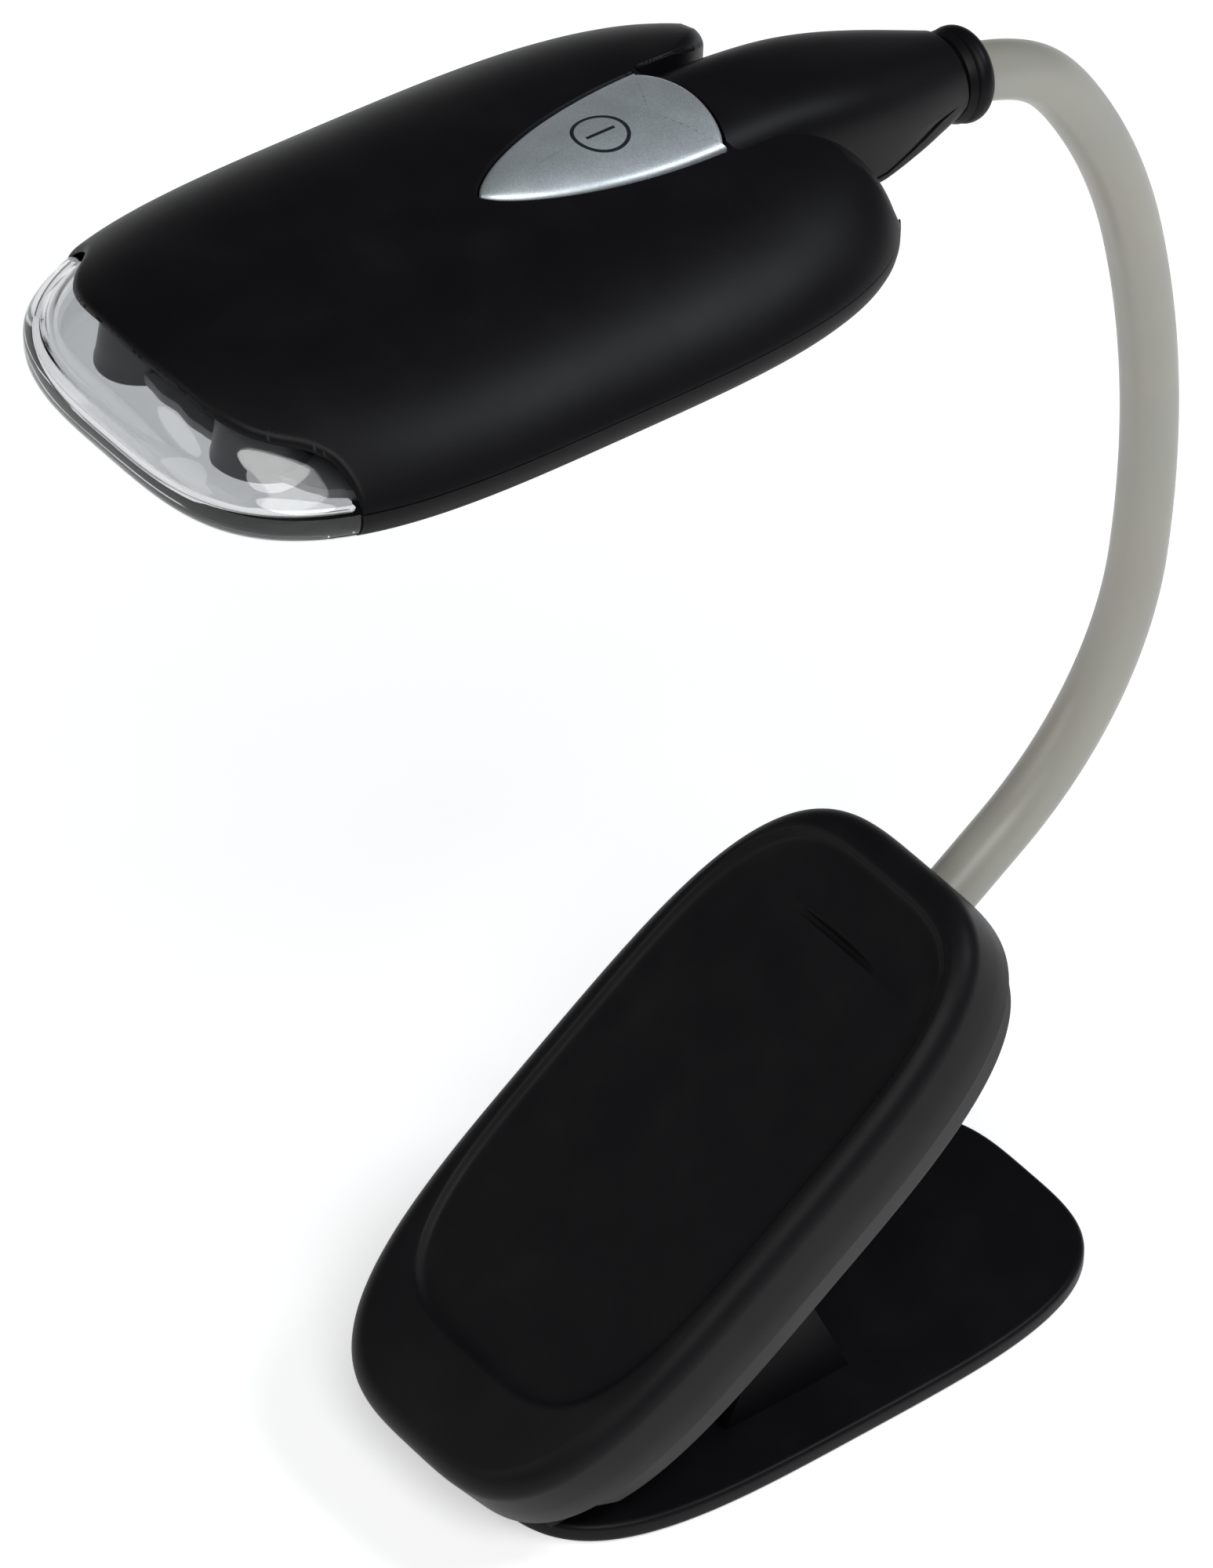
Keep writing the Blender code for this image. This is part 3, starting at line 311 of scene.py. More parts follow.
# ---------------------------------------------------------------- finishes
class SurfaceBench(NodeBench):
    """The bench of one material, round its shader."""

    def __init__(self, tree: bpy.types.NodeTree) -> None:
        """Finds the material's shader."""
        super().__init__(tree)
        self.shader = tree.nodes["Principled BSDF"]

    def effect(self, effect: Effect, **values: float) -> Node:
        """Places an effect's group.

        Args:
            effect: Which effect.
            values: Its input values, with underscores for spaces.

        Returns:
            The group node.
        """
        node = self.add("Group", node_tree=effect_group(effect))
        for name, value in values.items():
            node.inputs[name.replace("_", " ")].default_value = value
        return node

    def plain(self, **values: float | Color) -> None:
        """Sets plain values on the shader's sockets, with underscores for spaces."""
        for name, value in values.items():
            self.shader.inputs[name.replace("_", " ")].default_value = value

    def tint(self, color: Socket) -> None:
        """Gives the shader its base colour."""
        self.join(color, self.shader.inputs["Base Color"])

    def gloss(self, mask: Socket, spread: float, base: float) -> None:
        """Roughness that rises from a base where a mask is bright."""
        spreading = self.math("MULTIPLY", mask, spread)
        self.join(self.math("ADD", spreading, base), self.shader.inputs["Roughness"])

    def bump(self, height: Socket, depth_mm: float) -> None:
        """Bumps the shader's normal by a height."""
        node = self.add("Bump")
        node.inputs["Strength"].default_value = 1.0
        node.inputs["Distance"].default_value = depth_mm * MM
        self.join(height, node.inputs["Height"])
        self.join(node.outputs["Normal"], self.shader.inputs["Normal"])


def scaled(color: Color, factor: float) -> Color:
    """A colour made darker or lighter, but never past white."""
    return tuple(min(1.0, factor * part) for part in color)


@dataclass(frozen=True)
class Finish:
    """A material: its name, the record's slot it belongs to, and how its nodes are laid."""

    name: str
    slot: str

    def material(self) -> bpy.types.Material:
        """The finish's material, built on first use."""
        found = bpy.data.materials.get(self.name)
        if found:
            return found
        made = bpy.data.materials.new(self.name)
        made.use_nodes = True
        self.lay(SurfaceBench(made.node_tree))
        return made

    def lay(self, bench: SurfaceBench) -> None:
        """Fills the material's node tree."""
        raise NotImplementedError


@dataclass(frozen=True)
class MouldedPlastic(Finish):
    """Injection-moulded plastic with an eroded grain, rubbed edges, smudges and a little dust."""

    color: Color = (0.01, 0.01, 0.01)
    worn_color: Color = (0.05, 0.05, 0.052)
    roughness: float = 0.42
    gloss_spread: float = 0.08
    specular: float = 0.5
    grain_scale: float = 3200.0
    grain_depth: float = 0.006
    wear: float = 0.5
    dust: float = 0.05

    def lay(self, bench: SurfaceBench) -> None:
        """Colour from grain, wear and dust; roughness from smudges; bump from grain."""
        grain = bench.effect(Effect.GRAIN, Scale=self.grain_scale)
        wear = bench.effect(Effect.EDGE_WEAR, Amount=self.wear)
        dust = bench.effect(Effect.DUST, Amount=self.dust)
        smudges = bench.effect(Effect.SMUDGES)
        base = bench.blend(grain.outputs["Variation"], scaled(self.color, 0.8), self.color)
        worn = bench.blend(wear.outputs["Mask"], base, self.worn_color)
        dusty = bench.blend(dust.outputs["Mask"], worn, (0.3, 0.3, 0.29))
        bench.tint(dusty)
        bench.gloss(smudges.outputs["Mask"], self.gloss_spread, self.roughness)
        bench.plain(Specular_IOR_Level=self.specular)
        bench.bump(grain.outputs["Height"], self.grain_depth)


@dataclass(frozen=True)
class MetalPaint(Finish):
    """Silver paint on plastic: fine metal flakes under a thin satin lacquer."""

    color: Color = (0.66, 0.715, 0.74)
    roughness: float = 0.4
    metallic: float = 0.75

    def lay(self, bench: SurfaceBench) -> None:
        """Flakes vary the colour and a fine grain tilts the light; rubbed edges show darker plastic."""
        flakes = bench.add("TexVoronoi")
        flakes.inputs["Scale"].default_value = 9000.0
        bench.join(bench.place(), flakes.inputs["Vector"])
        tone = bench.add("SeparateColor")
        bench.join(flakes.outputs["Color"], tone.inputs[0])
        flaked = bench.blend(tone.outputs[0], scaled(self.color, 0.86), scaled(self.color, 1.1))
        wear = bench.effect(Effect.EDGE_WEAR, Amount=0.35)
        bench.tint(bench.blend(wear.outputs["Mask"], flaked, (0.2, 0.2, 0.21)))
        smudges = bench.effect(Effect.SMUDGES, Scale=140.0)
        bench.gloss(smudges.outputs["Mask"], 0.1, self.roughness)
        bench.plain(Metallic=self.metallic, Coat_Weight=0.15, Coat_Roughness=0.25)
        grain = bench.effect(Effect.GRAIN, Scale=7000.0)
        bench.bump(grain.outputs["Height"], 0.0015)


@dataclass(frozen=True)
class ClearPlastic(Finish):
    """Polished clear acrylic or epoxy with faint mould waves; the default grey tint is painted shade on what
    shows through it.
    """

    # Painted shade: this grey darkens the pale floor seen through the clear nose to a shaded grey.
    tint: Color = (0.68, 0.69, 0.695)
    ior: float = 1.49
    haze: float = 0.02
    wave_depth: float = 0.01

    def lay(self, bench: SurfaceBench) -> None:
        """Clear body with a slow surface wave and faint smudges."""
        bench.plain(Transmission_Weight=1.0, IOR=self.ior)
        waves = bench.effect(Effect.GRAIN, Scale=70.0)
        lighter = tuple(min(1.0, part + 0.03) for part in self.tint)
        bench.tint(bench.blend(waves.outputs["Variation"], self.tint, lighter))
        smudges = bench.effect(Effect.SMUDGES, Scale=160.0)
        bench.gloss(smudges.outputs["Mask"], 0.03, self.haze)
        bench.bump(waves.outputs["Variation"], self.wave_depth)


@dataclass(frozen=True)
class SleeveVinyl(Finish):
    """The soft grey-beige sleeve that covers the gooseneck."""

    color: Color = (0.36, 0.345, 0.3)
    roughness: float = 0.34

    def lay(self, bench: SurfaceBench) -> None:
        """Slow tone changes, handling marks and a faint grain bump."""
        grain = bench.effect(Effect.GRAIN, Scale=900.0)
        smudges = bench.effect(Effect.SMUDGES, Scale=70.0)
        toned = bench.blend(grain.outputs["Variation"], scaled(self.color, 0.88), self.color)
        bench.tint(bench.blend(smudges.outputs["Mask"], toned, (0.33, 0.325, 0.29)))
        bench.gloss(smudges.outputs["Mask"], 0.1, self.roughness)
        bench.plain(Subsurface_Weight=0.12, Subsurface_Radius=(0.9 * MM, 0.8 * MM, 0.7 * MM))
        bench.bump(grain.outputs["Height"], 0.008)


@dataclass(frozen=True)
class Metal(Finish):
    """Plated or bare metal with fine drawing lines and faint tarnish."""

    color: Color = (0.62, 0.62, 0.62)
    tarnish: Color = (0.42, 0.4, 0.37)
    roughness: float = 0.25
    line_scale: float = 4000.0
    line_depth: float = 0.002

    def lay(self, bench: SurfaceBench) -> None:
        """Lines bump the surface; smudges dull and darken it."""
        lines = bench.effect(Effect.SCRATCHES, Scale=self.line_scale)
        smudges = bench.effect(Effect.SMUDGES, Scale=220.0)
        dull = bench.math("MULTIPLY", smudges.outputs["Mask"], 0.45)
        bench.tint(bench.blend(dull, self.color, self.tarnish))
        bench.gloss(smudges.outputs["Mask"], 0.14, self.roughness)
        bench.plain(Metallic=1.0)
        bench.bump(lines.outputs["Height"], self.line_depth)


@dataclass(frozen=True)
class BoardLacquer(Finish):
    """Green solder lacquer over copper tracks."""

    def lay(self, bench: SurfaceBench) -> None:
        """Tracks as a block pattern under the lacquer, with weave in the board itself."""
        tracks = bench.add("TexBrick")
        tracks.inputs["Scale"].default_value = 160.0
        tracks.inputs["Mortar Size"].default_value = 0.03
        bench.join(bench.place(), tracks.inputs["Vector"])
        tint = bench.blend(tracks.outputs["Fac"], (0.006, 0.02, 0.012), (0.016, 0.045, 0.026))
        grain = bench.effect(Effect.GRAIN, Scale=2400.0)
        bench.tint(bench.blend(grain.outputs["Variation"], tint, (0.01, 0.03, 0.018)))
        bench.plain(Roughness=0.35)
        bench.bump(tracks.outputs["Fac"], 0.02)


@dataclass(frozen=True)
class CellWrap(Finish):
    """A plain shrink wrap with rubbed edges."""

    def lay(self, bench: SurfaceBench) -> None:
        """A glossy wrap with slow creases and printed tone."""
        grain = bench.effect(Effect.GRAIN, Scale=500.0)
        wear = bench.effect(Effect.EDGE_WEAR, Amount=0.6)
        wrap = bench.blend(grain.outputs["Variation"], (0.02, 0.06, 0.16), (0.04, 0.1, 0.24))
        bench.tint(bench.blend(wear.outputs["Mask"], wrap, (0.6, 0.6, 0.6)))
        bench.plain(Roughness=0.28)
        bench.bump(grain.outputs["Variation"], 0.02)


@dataclass(frozen=True)
class Paper(Finish):
    """The pale matt sweep that the lamp stands on."""

    color: Color = (0.88, 0.88, 0.88)
    glow: float = 0.55

    def lay(self, bench: SurfaceBench) -> None:
        """Almost white and faintly lit from behind, with a faint fibre."""
        grain = bench.effect(Effect.GRAIN, Scale=800.0)
        tone = bench.blend(grain.outputs["Variation"], scaled(self.color, 0.985), self.color)
        bench.tint(tone)
        bench.join(tone, bench.shader.inputs["Emission Color"])
        bench.plain(Emission_Strength=self.glow, Roughness=0.9, Specular_IOR_Level=0.1)
        bench.bump(grain.outputs["Height"], 0.01)


SATIN_BLACK = MouldedPlastic(
    "satin_black_shell",
    "black",
    color=(0.0045, 0.004, 0.005),
    worn_color=(0.008, 0.008, 0.009),
    gloss_spread=0.03,
    specular=0.13,
    dust=0.02,
)
COVER_BLACK = MouldedPlastic(
    "satin_black_cover",
    "black",
    color=(0.0052, 0.0042, 0.0052),
    worn_color=(0.02, 0.02, 0.02),
    roughness=0.46,
    gloss_spread=0.04,
    specular=0.13,
    dust=0.02,
)
INNER_BLACK = MouldedPlastic(
    "matt_black_tray",
    "inner",
    color=(0.012, 0.011, 0.012),
    roughness=0.58,
    grain_scale=1500.0,
    grain_depth=0.015,
)
PAD_RUBBER = MouldedPlastic(
    "ribbed_pad_rubber",
    "rubber",
    color=(0.012, 0.012, 0.012),
    worn_color=(0.04, 0.04, 0.04),
    roughness=0.78,
    specular=0.25,
    grain_scale=1400.0,
    grain_depth=0.03,
    dust=0.25,
)
MARK_INK = MouldedPlastic(
    "dark_mark_ink", "silver", color=(0.008, 0.01, 0.02), roughness=0.5, wear=0.0, dust=0.0, grain_depth=0.001
)
LEAD_SKIN = MouldedPlastic(
    "red_lead_insulation", "wire", color=(0.35, 0.02, 0.015), worn_color=(0.5, 0.1, 0.08), roughness=0.4
)
CARRIER_GREY = MouldedPlastic(
    "grey_reflector_carrier", "mirror", color=(0.3, 0.31, 0.315), worn_color=(0.3, 0.3, 0.3), roughness=0.35
)
BOWL_GREY = MouldedPlastic(
    "grey_reflector_bowl", "mirror", color=(0.11, 0.112, 0.115), worn_color=(0.2, 0.2, 0.2), roughness=0.32
)
BUTTON_SILVER = MetalPaint("silver_button_paint", "silver")
# The lens keeps the default grey tint, which is painted shade on the floor seen through it.
LENS_GREY_SHADE = ClearPlastic("clear_lens_painted_shade", "clear")
LED_CLEAR = ClearPlastic("led_epoxy_dome", "led", tint=(0.93, 0.92, 0.82), ior=1.54, haze=0.06)
SLEEVE = SleeveVinyl("grey_sleeve_vinyl", "tube")
STEEL = Metal("plated_steel", "steel")
BRASS = Metal("contact_brass", "brass", color=(0.72, 0.52, 0.24), tarnish=(0.4, 0.24, 0.1))
BOARD = BoardLacquer("green_board_lacquer", "board")
WRAP = CellWrap("blue_cell_wrap", "cell")
SWEEP = Paper("pale_paper_sweep", "none")


# ---------------------------------------------------------------- placing and shaping
@dataclass(frozen=True)
class Placement:
    """Where a sub-assembly's millimetre frame lies in the model."""

    origin: Vector
    pitch: float

    def matrix(self) -> Matrix:
        """From the frame's millimetres to the model's metres. A positive pitch raises the +X end."""
        turn = Matrix.Rotation(-self.pitch, 4, "Y")
        return Matrix.Translation(self.origin) @ turn @ Matrix.Scale(MM, 4)


def joint(name: str) -> dict:
    """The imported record's joint of that name."""
    return next(entry for entry in frame["joints"] if entry["name"] == name)


def superellipse(half_x: float, half_y: float, power: float, height: float, shift: float = 0.0) -> Ring:
    """A rounded rectangle as a smooth ring.

    Args:
        half_x: Half its length.
        half_y: Half its width.
        power: Its squareness; 2 is an ellipse.
        height: Its height in the frame.
        shift: How far its centre lies along X.

    Returns:
        The ring's points.
    """
    turn = np.linspace(0.0, 2 * math.pi, RING_POINTS, endpoint=False)
    x = np.sign(np.cos(turn)) * np.abs(np.cos(turn)) ** (2 / power) * half_x + shift
    y = np.sign(np.sin(turn)) * np.abs(np.sin(turn)) ** (2 / power) * half_y
    return [(float(a), float(b), height) for a, b in zip(x, y)]


def circle(radius: float, height: float, sides: int) -> Ring:
    """A round ring about Z."""
    turns = [2 * math.pi * index / sides for index in range(sides)]
    return [(radius * math.cos(turn), radius * math.sin(turn), height) for turn in turns]


def arc(centre: Pair, radius: float, start: float, end: float, steps: int) -> list[Pair]:
    """Points along an arc in a plane, with its ends in degrees."""
    turns = [math.radians(start + (end - start) * step / steps) for step in range(steps + 1)]
    return [(centre[0] + radius * math.cos(turn), centre[1] + radius * math.sin(turn)) for turn in turns]


def loft(rings: Sequence[Ring], closed: bool = False) -> Work:
    """A skin through rings with the same number of points.

    Args:
        rings: The rings in order.
        closed: Whether the last ring joins the first. If not, both ends are filled.

    Returns:
        The new bmesh.
    """
    work = bmesh.new()
    loops = [[work.verts.new(point) for point in ring] for ring in rings]
    pairs = list(zip(loops, loops[1:]))
    if closed:
        pairs.append((loops[-1], loops[0]))
    else:
        work.faces.new(loops[0])
        work.faces.new(loops[-1])
    for low, high in pairs:
        for index in range(len(low)):
            follow = (index + 1) % len(low)
            work.faces.new((low[index], low[follow], high[follow], high[index]))
    bmesh.ops.recalc_face_normals(work, faces=work.faces)
    return work


def turned(profile: Iterable[Pair], sides: int = 48, closed: bool = False) -> Work:
    """A piece turned about Z from (radius, height) pairs."""
    return loft([circle(radius, height, sides) for radius, height in profile], closed)


def swept(points: Sequence[Vector], radius: float, sides: int = 12) -> Work:
    """A round tube along a line of points, turned as little as possible from ring to ring."""
    rings = []
    side = Vector((0, 1, 0))
    for index, point in enumerate(points):
        before, after = points[max(index - 1, 0)], points[min(index + 1, len(points) - 1)]
        ahead = (after - before).normalized()
        side = (side - ahead * side.dot(ahead)).normalized()
        other = ahead.cross(side)
        turns = [2 * math.pi * step / sides for step in range(sides)]
        rings.append([tuple(point + radius * (side * math.cos(t) + other * math.sin(t))) for t in turns])
    return loft(rings)


def prism(outline: Sequence[Pair], low: float, high: float, across: bool = False) -> Work:
    """An outline pulled along Z, or along Y from (x, z) points when across is set."""
    def place(pair: Pair, level: float) -> Point:
        """The outline's point at a level."""
        return (pair[0], level, pair[1]) if across else (pair[0], pair[1], level)

    return loft([[place(pair, low) for pair in outline], [place(pair, high) for pair in outline]])


def rod(radius: float, half: float, place: Sequence[float], axis: Axis, sides: int = 48) -> Work:
    """A round cutter about a place, reaching half its length each way."""
    return moved(turned(((radius, -half), (radius, half)), sides), place, axis)


def moved(work: Work, place: Sequence[float], axis: Axis = Axis.UP) -> Work:
    """The bmesh turned to an axis and moved to a place."""
    work.transform(Matrix.Translation(place) @ axis.matrix())
    return work


def carve(target: Work, tools: Sequence[Work], operation: str = "DIFFERENCE") -> Work:
    """Cuts, joins or intersects solids with exact booleans.

    Args:
        target: The solid to work on, which is used up.
        tools: The other solids, which are used up.
        operation: DIFFERENCE, UNION or INTERSECT.

    Returns:
        The result as a new bmesh.
    """
    def hold(work: Work, name: str) -> bpy.types.Object:
        """A bmesh as a scene object."""
        data = bpy.data.meshes.new(name)
        work.to_mesh(data)
        work.free()
        held = bpy.data.objects.new(name, data)
        bpy.context.scene.collection.objects.link(held)
        return held

    body = hold(target, "carved")
    cutters = [hold(tool, "cutter") for tool in tools]
    for cutter in cutters:
        modifier = body.modifiers.new("carve", "BOOLEAN")
        modifier.operation = operation
        modifier.solver = "EXACT"
        modifier.object = cutter
    graph = bpy.context.evaluated_depsgraph_get()
    graph.update()
    result = bmesh.new()
    result.from_mesh(body.evaluated_get(graph).to_mesh())
    for used in (body, *cutters):
        data = used.data
        bpy.data.objects.remove(used)
        bpy.data.meshes.remove(data)
    return result


@dataclass
class Workshop:
    """Turns bmeshes into finished pieces that ride on the model's bodies."""

    made: list[str] = field(default_factory=list)

    def piece(
        self,
        name: str,
        work: Work,
        placement: Placement | None,
        finish: Finish,
        body: Body | None,
        replaces: Sequence[str] = (),
        sharp: float = 35.0,
        bevel: float = 0.0,
    ) -> bpy.types.Object:
        """body: The body it rides on, or None to leave it on no body.
            replaces: The model's nodes that it stands for.
            sharp: Edges sharper than this angle stay crisp.
            bevel: How far its sharp edges are rounded, in millimetres.

        Returns:
            The new object.
        """
        data = bpy.data.meshes.new(name)
        if bevel:
            self.round_edges(work, bevel)
        if placement:
            work.transform(placement.matrix())
        work.to_mesh(data)
        work.free()
        data.shade_smooth()
        data.set_sharp_from_angle(angle=math.radians(sharp))
        data.materials.append(finish.material())
        made = bpy.data.objects.new(name, data)
        bpy.context.scene.collection.objects.link(made)
        if body:
            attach(made, body.value)
        if replaces:
            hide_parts(*replaces)
        self.made.append(name)
        LOG.info("piece %s: %d faces, finish %s", name, len(data.polygons), finish.name)
        return made

    @staticmethod
    def round_edges(work: Work, width: float) -> None:
        """Rounds the sharp edges of a closed shape by a width."""
        work.normal_update()
        hard = [e for e in work.edges if len(e.link_faces) == 2 and e.calc_face_angle(0.0) > math.radians(40)]
        shape = {"segments": 2, "profile": 0.6, "affect": "EDGES", "clamp_overlap": True}
        bmesh.ops.bevel(work, geom=hard, offset=width, **shape)

    def dress_node(self, node: str, finish: Finish) -> None:
        """Gives a model node that keeps its own shape a better material."""
        target = frame["nodes"][node]
        target.data.materials.clear()
        target.data.materials.append(finish.material())
        LOG.info("kept %s, finish %s", node, finish.name)


# ---------------------------------------------------------------- the clip
@dataclass
class Hinge:
    """Where the clip turns, and how the housing leans on it."""

    spot: Vector
    tilt: float
    along: float = 2.6
    drop: float = 9.4

    @classmethod
    def from_model(cls) -> "Hinge":
        """Reads the hinge's place and the housing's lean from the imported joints."""
        lift = joint("cover_lift")["axis"]
        return cls(Vector(joint("clip_hinge")["pos_m"]), math.atan2(-lift[0], lift[2]))

    @property
    def place_mm(self) -> Pair:
        """The pin's X and Z in millimetres."""
        return self.spot.x / MM, self.spot.z / MM

    def housing(self) -> Placement:
        """The frame of the battery housing, on its rim plane."""
        along = Vector((math.cos(self.tilt), 0, math.sin(self.tilt)))
        up = Vector((-math.sin(self.tilt), 0, math.cos(self.tilt)))
        return Placement(self.spot + (along * self.along + up * self.drop) * MM, self.tilt)


DRILL_REACH = 40.0
GROUND = Placement(Vector((0, 0, 0)), 0.0)


def lug_outline(centre: Pair, radius: float, base_half: float, base_height: float) -> list:
    """A hinge lug's outline in X and Z: a round end about a centre, spreading to a base.

    Args:
        centre: The pin's place.
        radius: The round end's radius.
        base_half: Half the base's width.
        base_height: The base's height.

    Returns:
        The outline's points.
    """
    standing = base_height < centre[1]
    lean = base_half if standing else -base_half
    start = -45.0 if standing else 135.0
    base = [(centre[0] - lean, base_height), (centre[0] + lean, base_height)]
    return base + arc(centre, radius, start, start + 270, 36)


def lug_pair(outline: Sequence[Pair], near: float, thickness: float) -> list[Work]:
    """Two hinge lugs of one outline, each as far from the middle."""
    spans = (sorted((side * near, side * (near + thickness))) for side in (-1, 1))
    return [prism(outline, low, high, across=True) for low, high in spans]


@dataclass
class ClipPlate:
    """The flat lower half of the clip, with two lugs for the hinge pin."""

    hinge: Hinge
    length: float = 79.0
    width: float = 41.0
    thickness: float = 2.5
    squareness: float = 3.5
    edge: float = 0.7
    lug_near: float = 10.6
    lug_thickness: float = 2.0
    lug_radius: float = 3.3
    lug_base: float = 9.2
    lug_edge: float = 0.3
    pin_hole: float = 1.5

    def build(self, shop: Workshop) -> None:
        """Makes the plate with soft edges and its drilled lugs."""
        edge, pivot = self.edge, self.hinge.place_mm
        side = arc((edge, edge), edge, 270, 180, 5) + arc((edge, self.thickness - edge), edge, 180, 90, 5)
        rings = [self.ring(inward, height) for inward, height in side]
        outline = lug_outline(pivot, self.lug_radius, self.lug_base, self.thickness / 2)
        lugs = lug_pair(outline, self.lug_near, self.lug_thickness)
        for lug in lugs:
            Workshop.round_edges(lug, self.lug_edge)
        drill = rod(self.pin_hole, DRILL_REACH, (pivot[0], 0, pivot[1]), Axis.ACROSS)
        plate = carve(carve(loft(rings), lugs, "UNION"), [drill])
        shop.piece("clip_plate_body", plate, GROUND, SATIN_BLACK, Body.BASE, ["clip_plate"])

    def ring(self, inward: float, height: float) -> Ring:
        """The plate's outline moved in by an amount."""
        return superellipse(self.length / 2 - inward, self.width / 2 - inward, self.squareness, height)


@dataclass
class HingeHardware:
    """The pin, its push-on cap and the torsion spring."""

    hinge: Hinge
    pin_radius: float = 1.35
    head_radius: float = 3.5
    head_height: float = 1.6
    head_lip: float = 0.25
    reach: float = 12.75
    coil_radius: float = 2.7
    wire: float = 0.5
    turns: int = 5
    pitch: float = 1.35
    leg: float = 15.0
    foot_height: float = 3.15
    gap: float = 0.15

    def build(self, shop: Workshop) -> None:
        """Makes the three pieces."""
        place = (self.hinge.place_mm[0], 0, self.hinge.place_mm[1])
        for name, profile, node, sharp in (
            ("domed_hinge_pin", self.pin_profile(), "hinge_pin", 50),
            ("push_on_cap", self.cap_profile(), "pin_cap", 35),
        ):
            work = moved(turned(profile, 64), place, Axis.ACROSS)
            shop.piece(name, work, GROUND, STEEL, Body.BASE, [node], sharp)
        self.build_spring(shop)

    def pin_profile(self) -> list[Pair]:
        """The pin's shank and its domed head."""
        radius, reach, head = self.pin_radius, self.reach, self.head_radius
        profile = [(radius * 0.8, -reach), (radius, -reach + 0.3), (radius, reach), (head - 0.2, reach)]
        for step in range(9):
            turn = math.radians(85 * step / 8)
            rise = self.head_lip + (self.head_height - self.head_lip) * math.sin(turn)
            profile.append((head * math.cos(turn), reach + rise))
        return profile

    def cap_profile(self) -> list[Pair]:
        """A pressed cap with a rolled rim."""
        start, tall = -self.reach - self.gap, self.head_height
        steps = ((0.85, 0.0), (1.0, 0.25), (0.98, 0.5), (0.8, 0.72 * tall), (0.4, 0.78 * tall))
        return [(self.head_radius * share, start - rise) for share, rise in steps]

    def build_spring(self, shop: Workshop) -> None:
        """The spring's coil round the pin, with a leg under the tray and one on the plate."""
        tilt, centre = self.hinge.tilt, self.hinge.spot / MM
        foot = Vector((self.leg, 0, self.foot_height - centre.z))
        leg_length = math.sqrt(foot.length_squared - self.coil_radius**2)
        foot_turn = math.atan2(foot.z, foot.x) - math.atan2(self.coil_radius, leg_length)
        start = tilt + math.pi / 2
        end = foot_turn + 1.5 * math.pi + 2 * math.pi * self.turns
        half = self.pitch * (end - start) / (4 * math.pi)
        steps = 40 * self.turns
        coil = []
        for step in range(steps + 1):
            turn = start + (end - start) * step / steps
            ray = Vector((math.cos(turn), 0, math.sin(turn))) * self.coil_radius
            coil.append(centre + ray + Vector((0, -half + 2 * half * step / steps, 0)))
        along = Vector((math.cos(tilt), 0, math.sin(tilt)))
        legs = [coil[0] + along * self.leg, centre + foot + Vector((0, half, 0))]
        work = swept([legs[0], *coil, legs[1]], self.wire, 12)
        spring = shop.piece("coiled_torsion_spring", work, GROUND, STEEL, None, ["torsion_spring"])
        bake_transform(spring)


@dataclass
class JawPads:
    """The ribbed rubber pads of the jaws, face to face."""

    hinge: Hinge
    back: float = -38.1
    length: float = 7.0
    width: float = 26.0
    thickness: float = 1.1
    low: float = 2.65
    rise: float = 1.4
    ribs: int = 6
    groove: float = 0.4

    def build(self, shop: Workshop) -> None:
        """Makes both pads."""
        lower = prism(self.profile(self.low, 1), -self.width / 2, self.width / 2, across=True)
        shop.piece("ribbed_lower_pad", lower, GROUND, PAD_RUBBER, Body.BASE, ["lower_jaw_pad"], bevel=0.08)
        top = self.low + self.rise + self.thickness
        upper = prism(self.profile(top, -1), -self.width / 2, self.width / 2, across=True)
        shop.piece("ribbed_upper_pad", upper, GROUND, PAD_RUBBER, Body.HOUSING, ["upper_jaw_pad"], bevel=0.08)

    def profile(self, base: float, side: int) -> list[Pair]:
        """A pad's outline in X and Z, with ribs on the side away from its base."""
        outline = [(self.back + self.length, base), (self.back, base)]
        pitch = self.length / self.ribs
        for rib in range(self.ribs):
            start = self.back + rib * pitch
            for share, depth in ((0.0, self.groove), (0.18, 0.0), (0.72, 0.0), (0.9, self.groove)):
                outline.append((start + share * pitch, base + side * (self.thickness - depth)))
        outline.append((self.back + self.length, base + side * (self.thickness - self.groove)))
        return outline


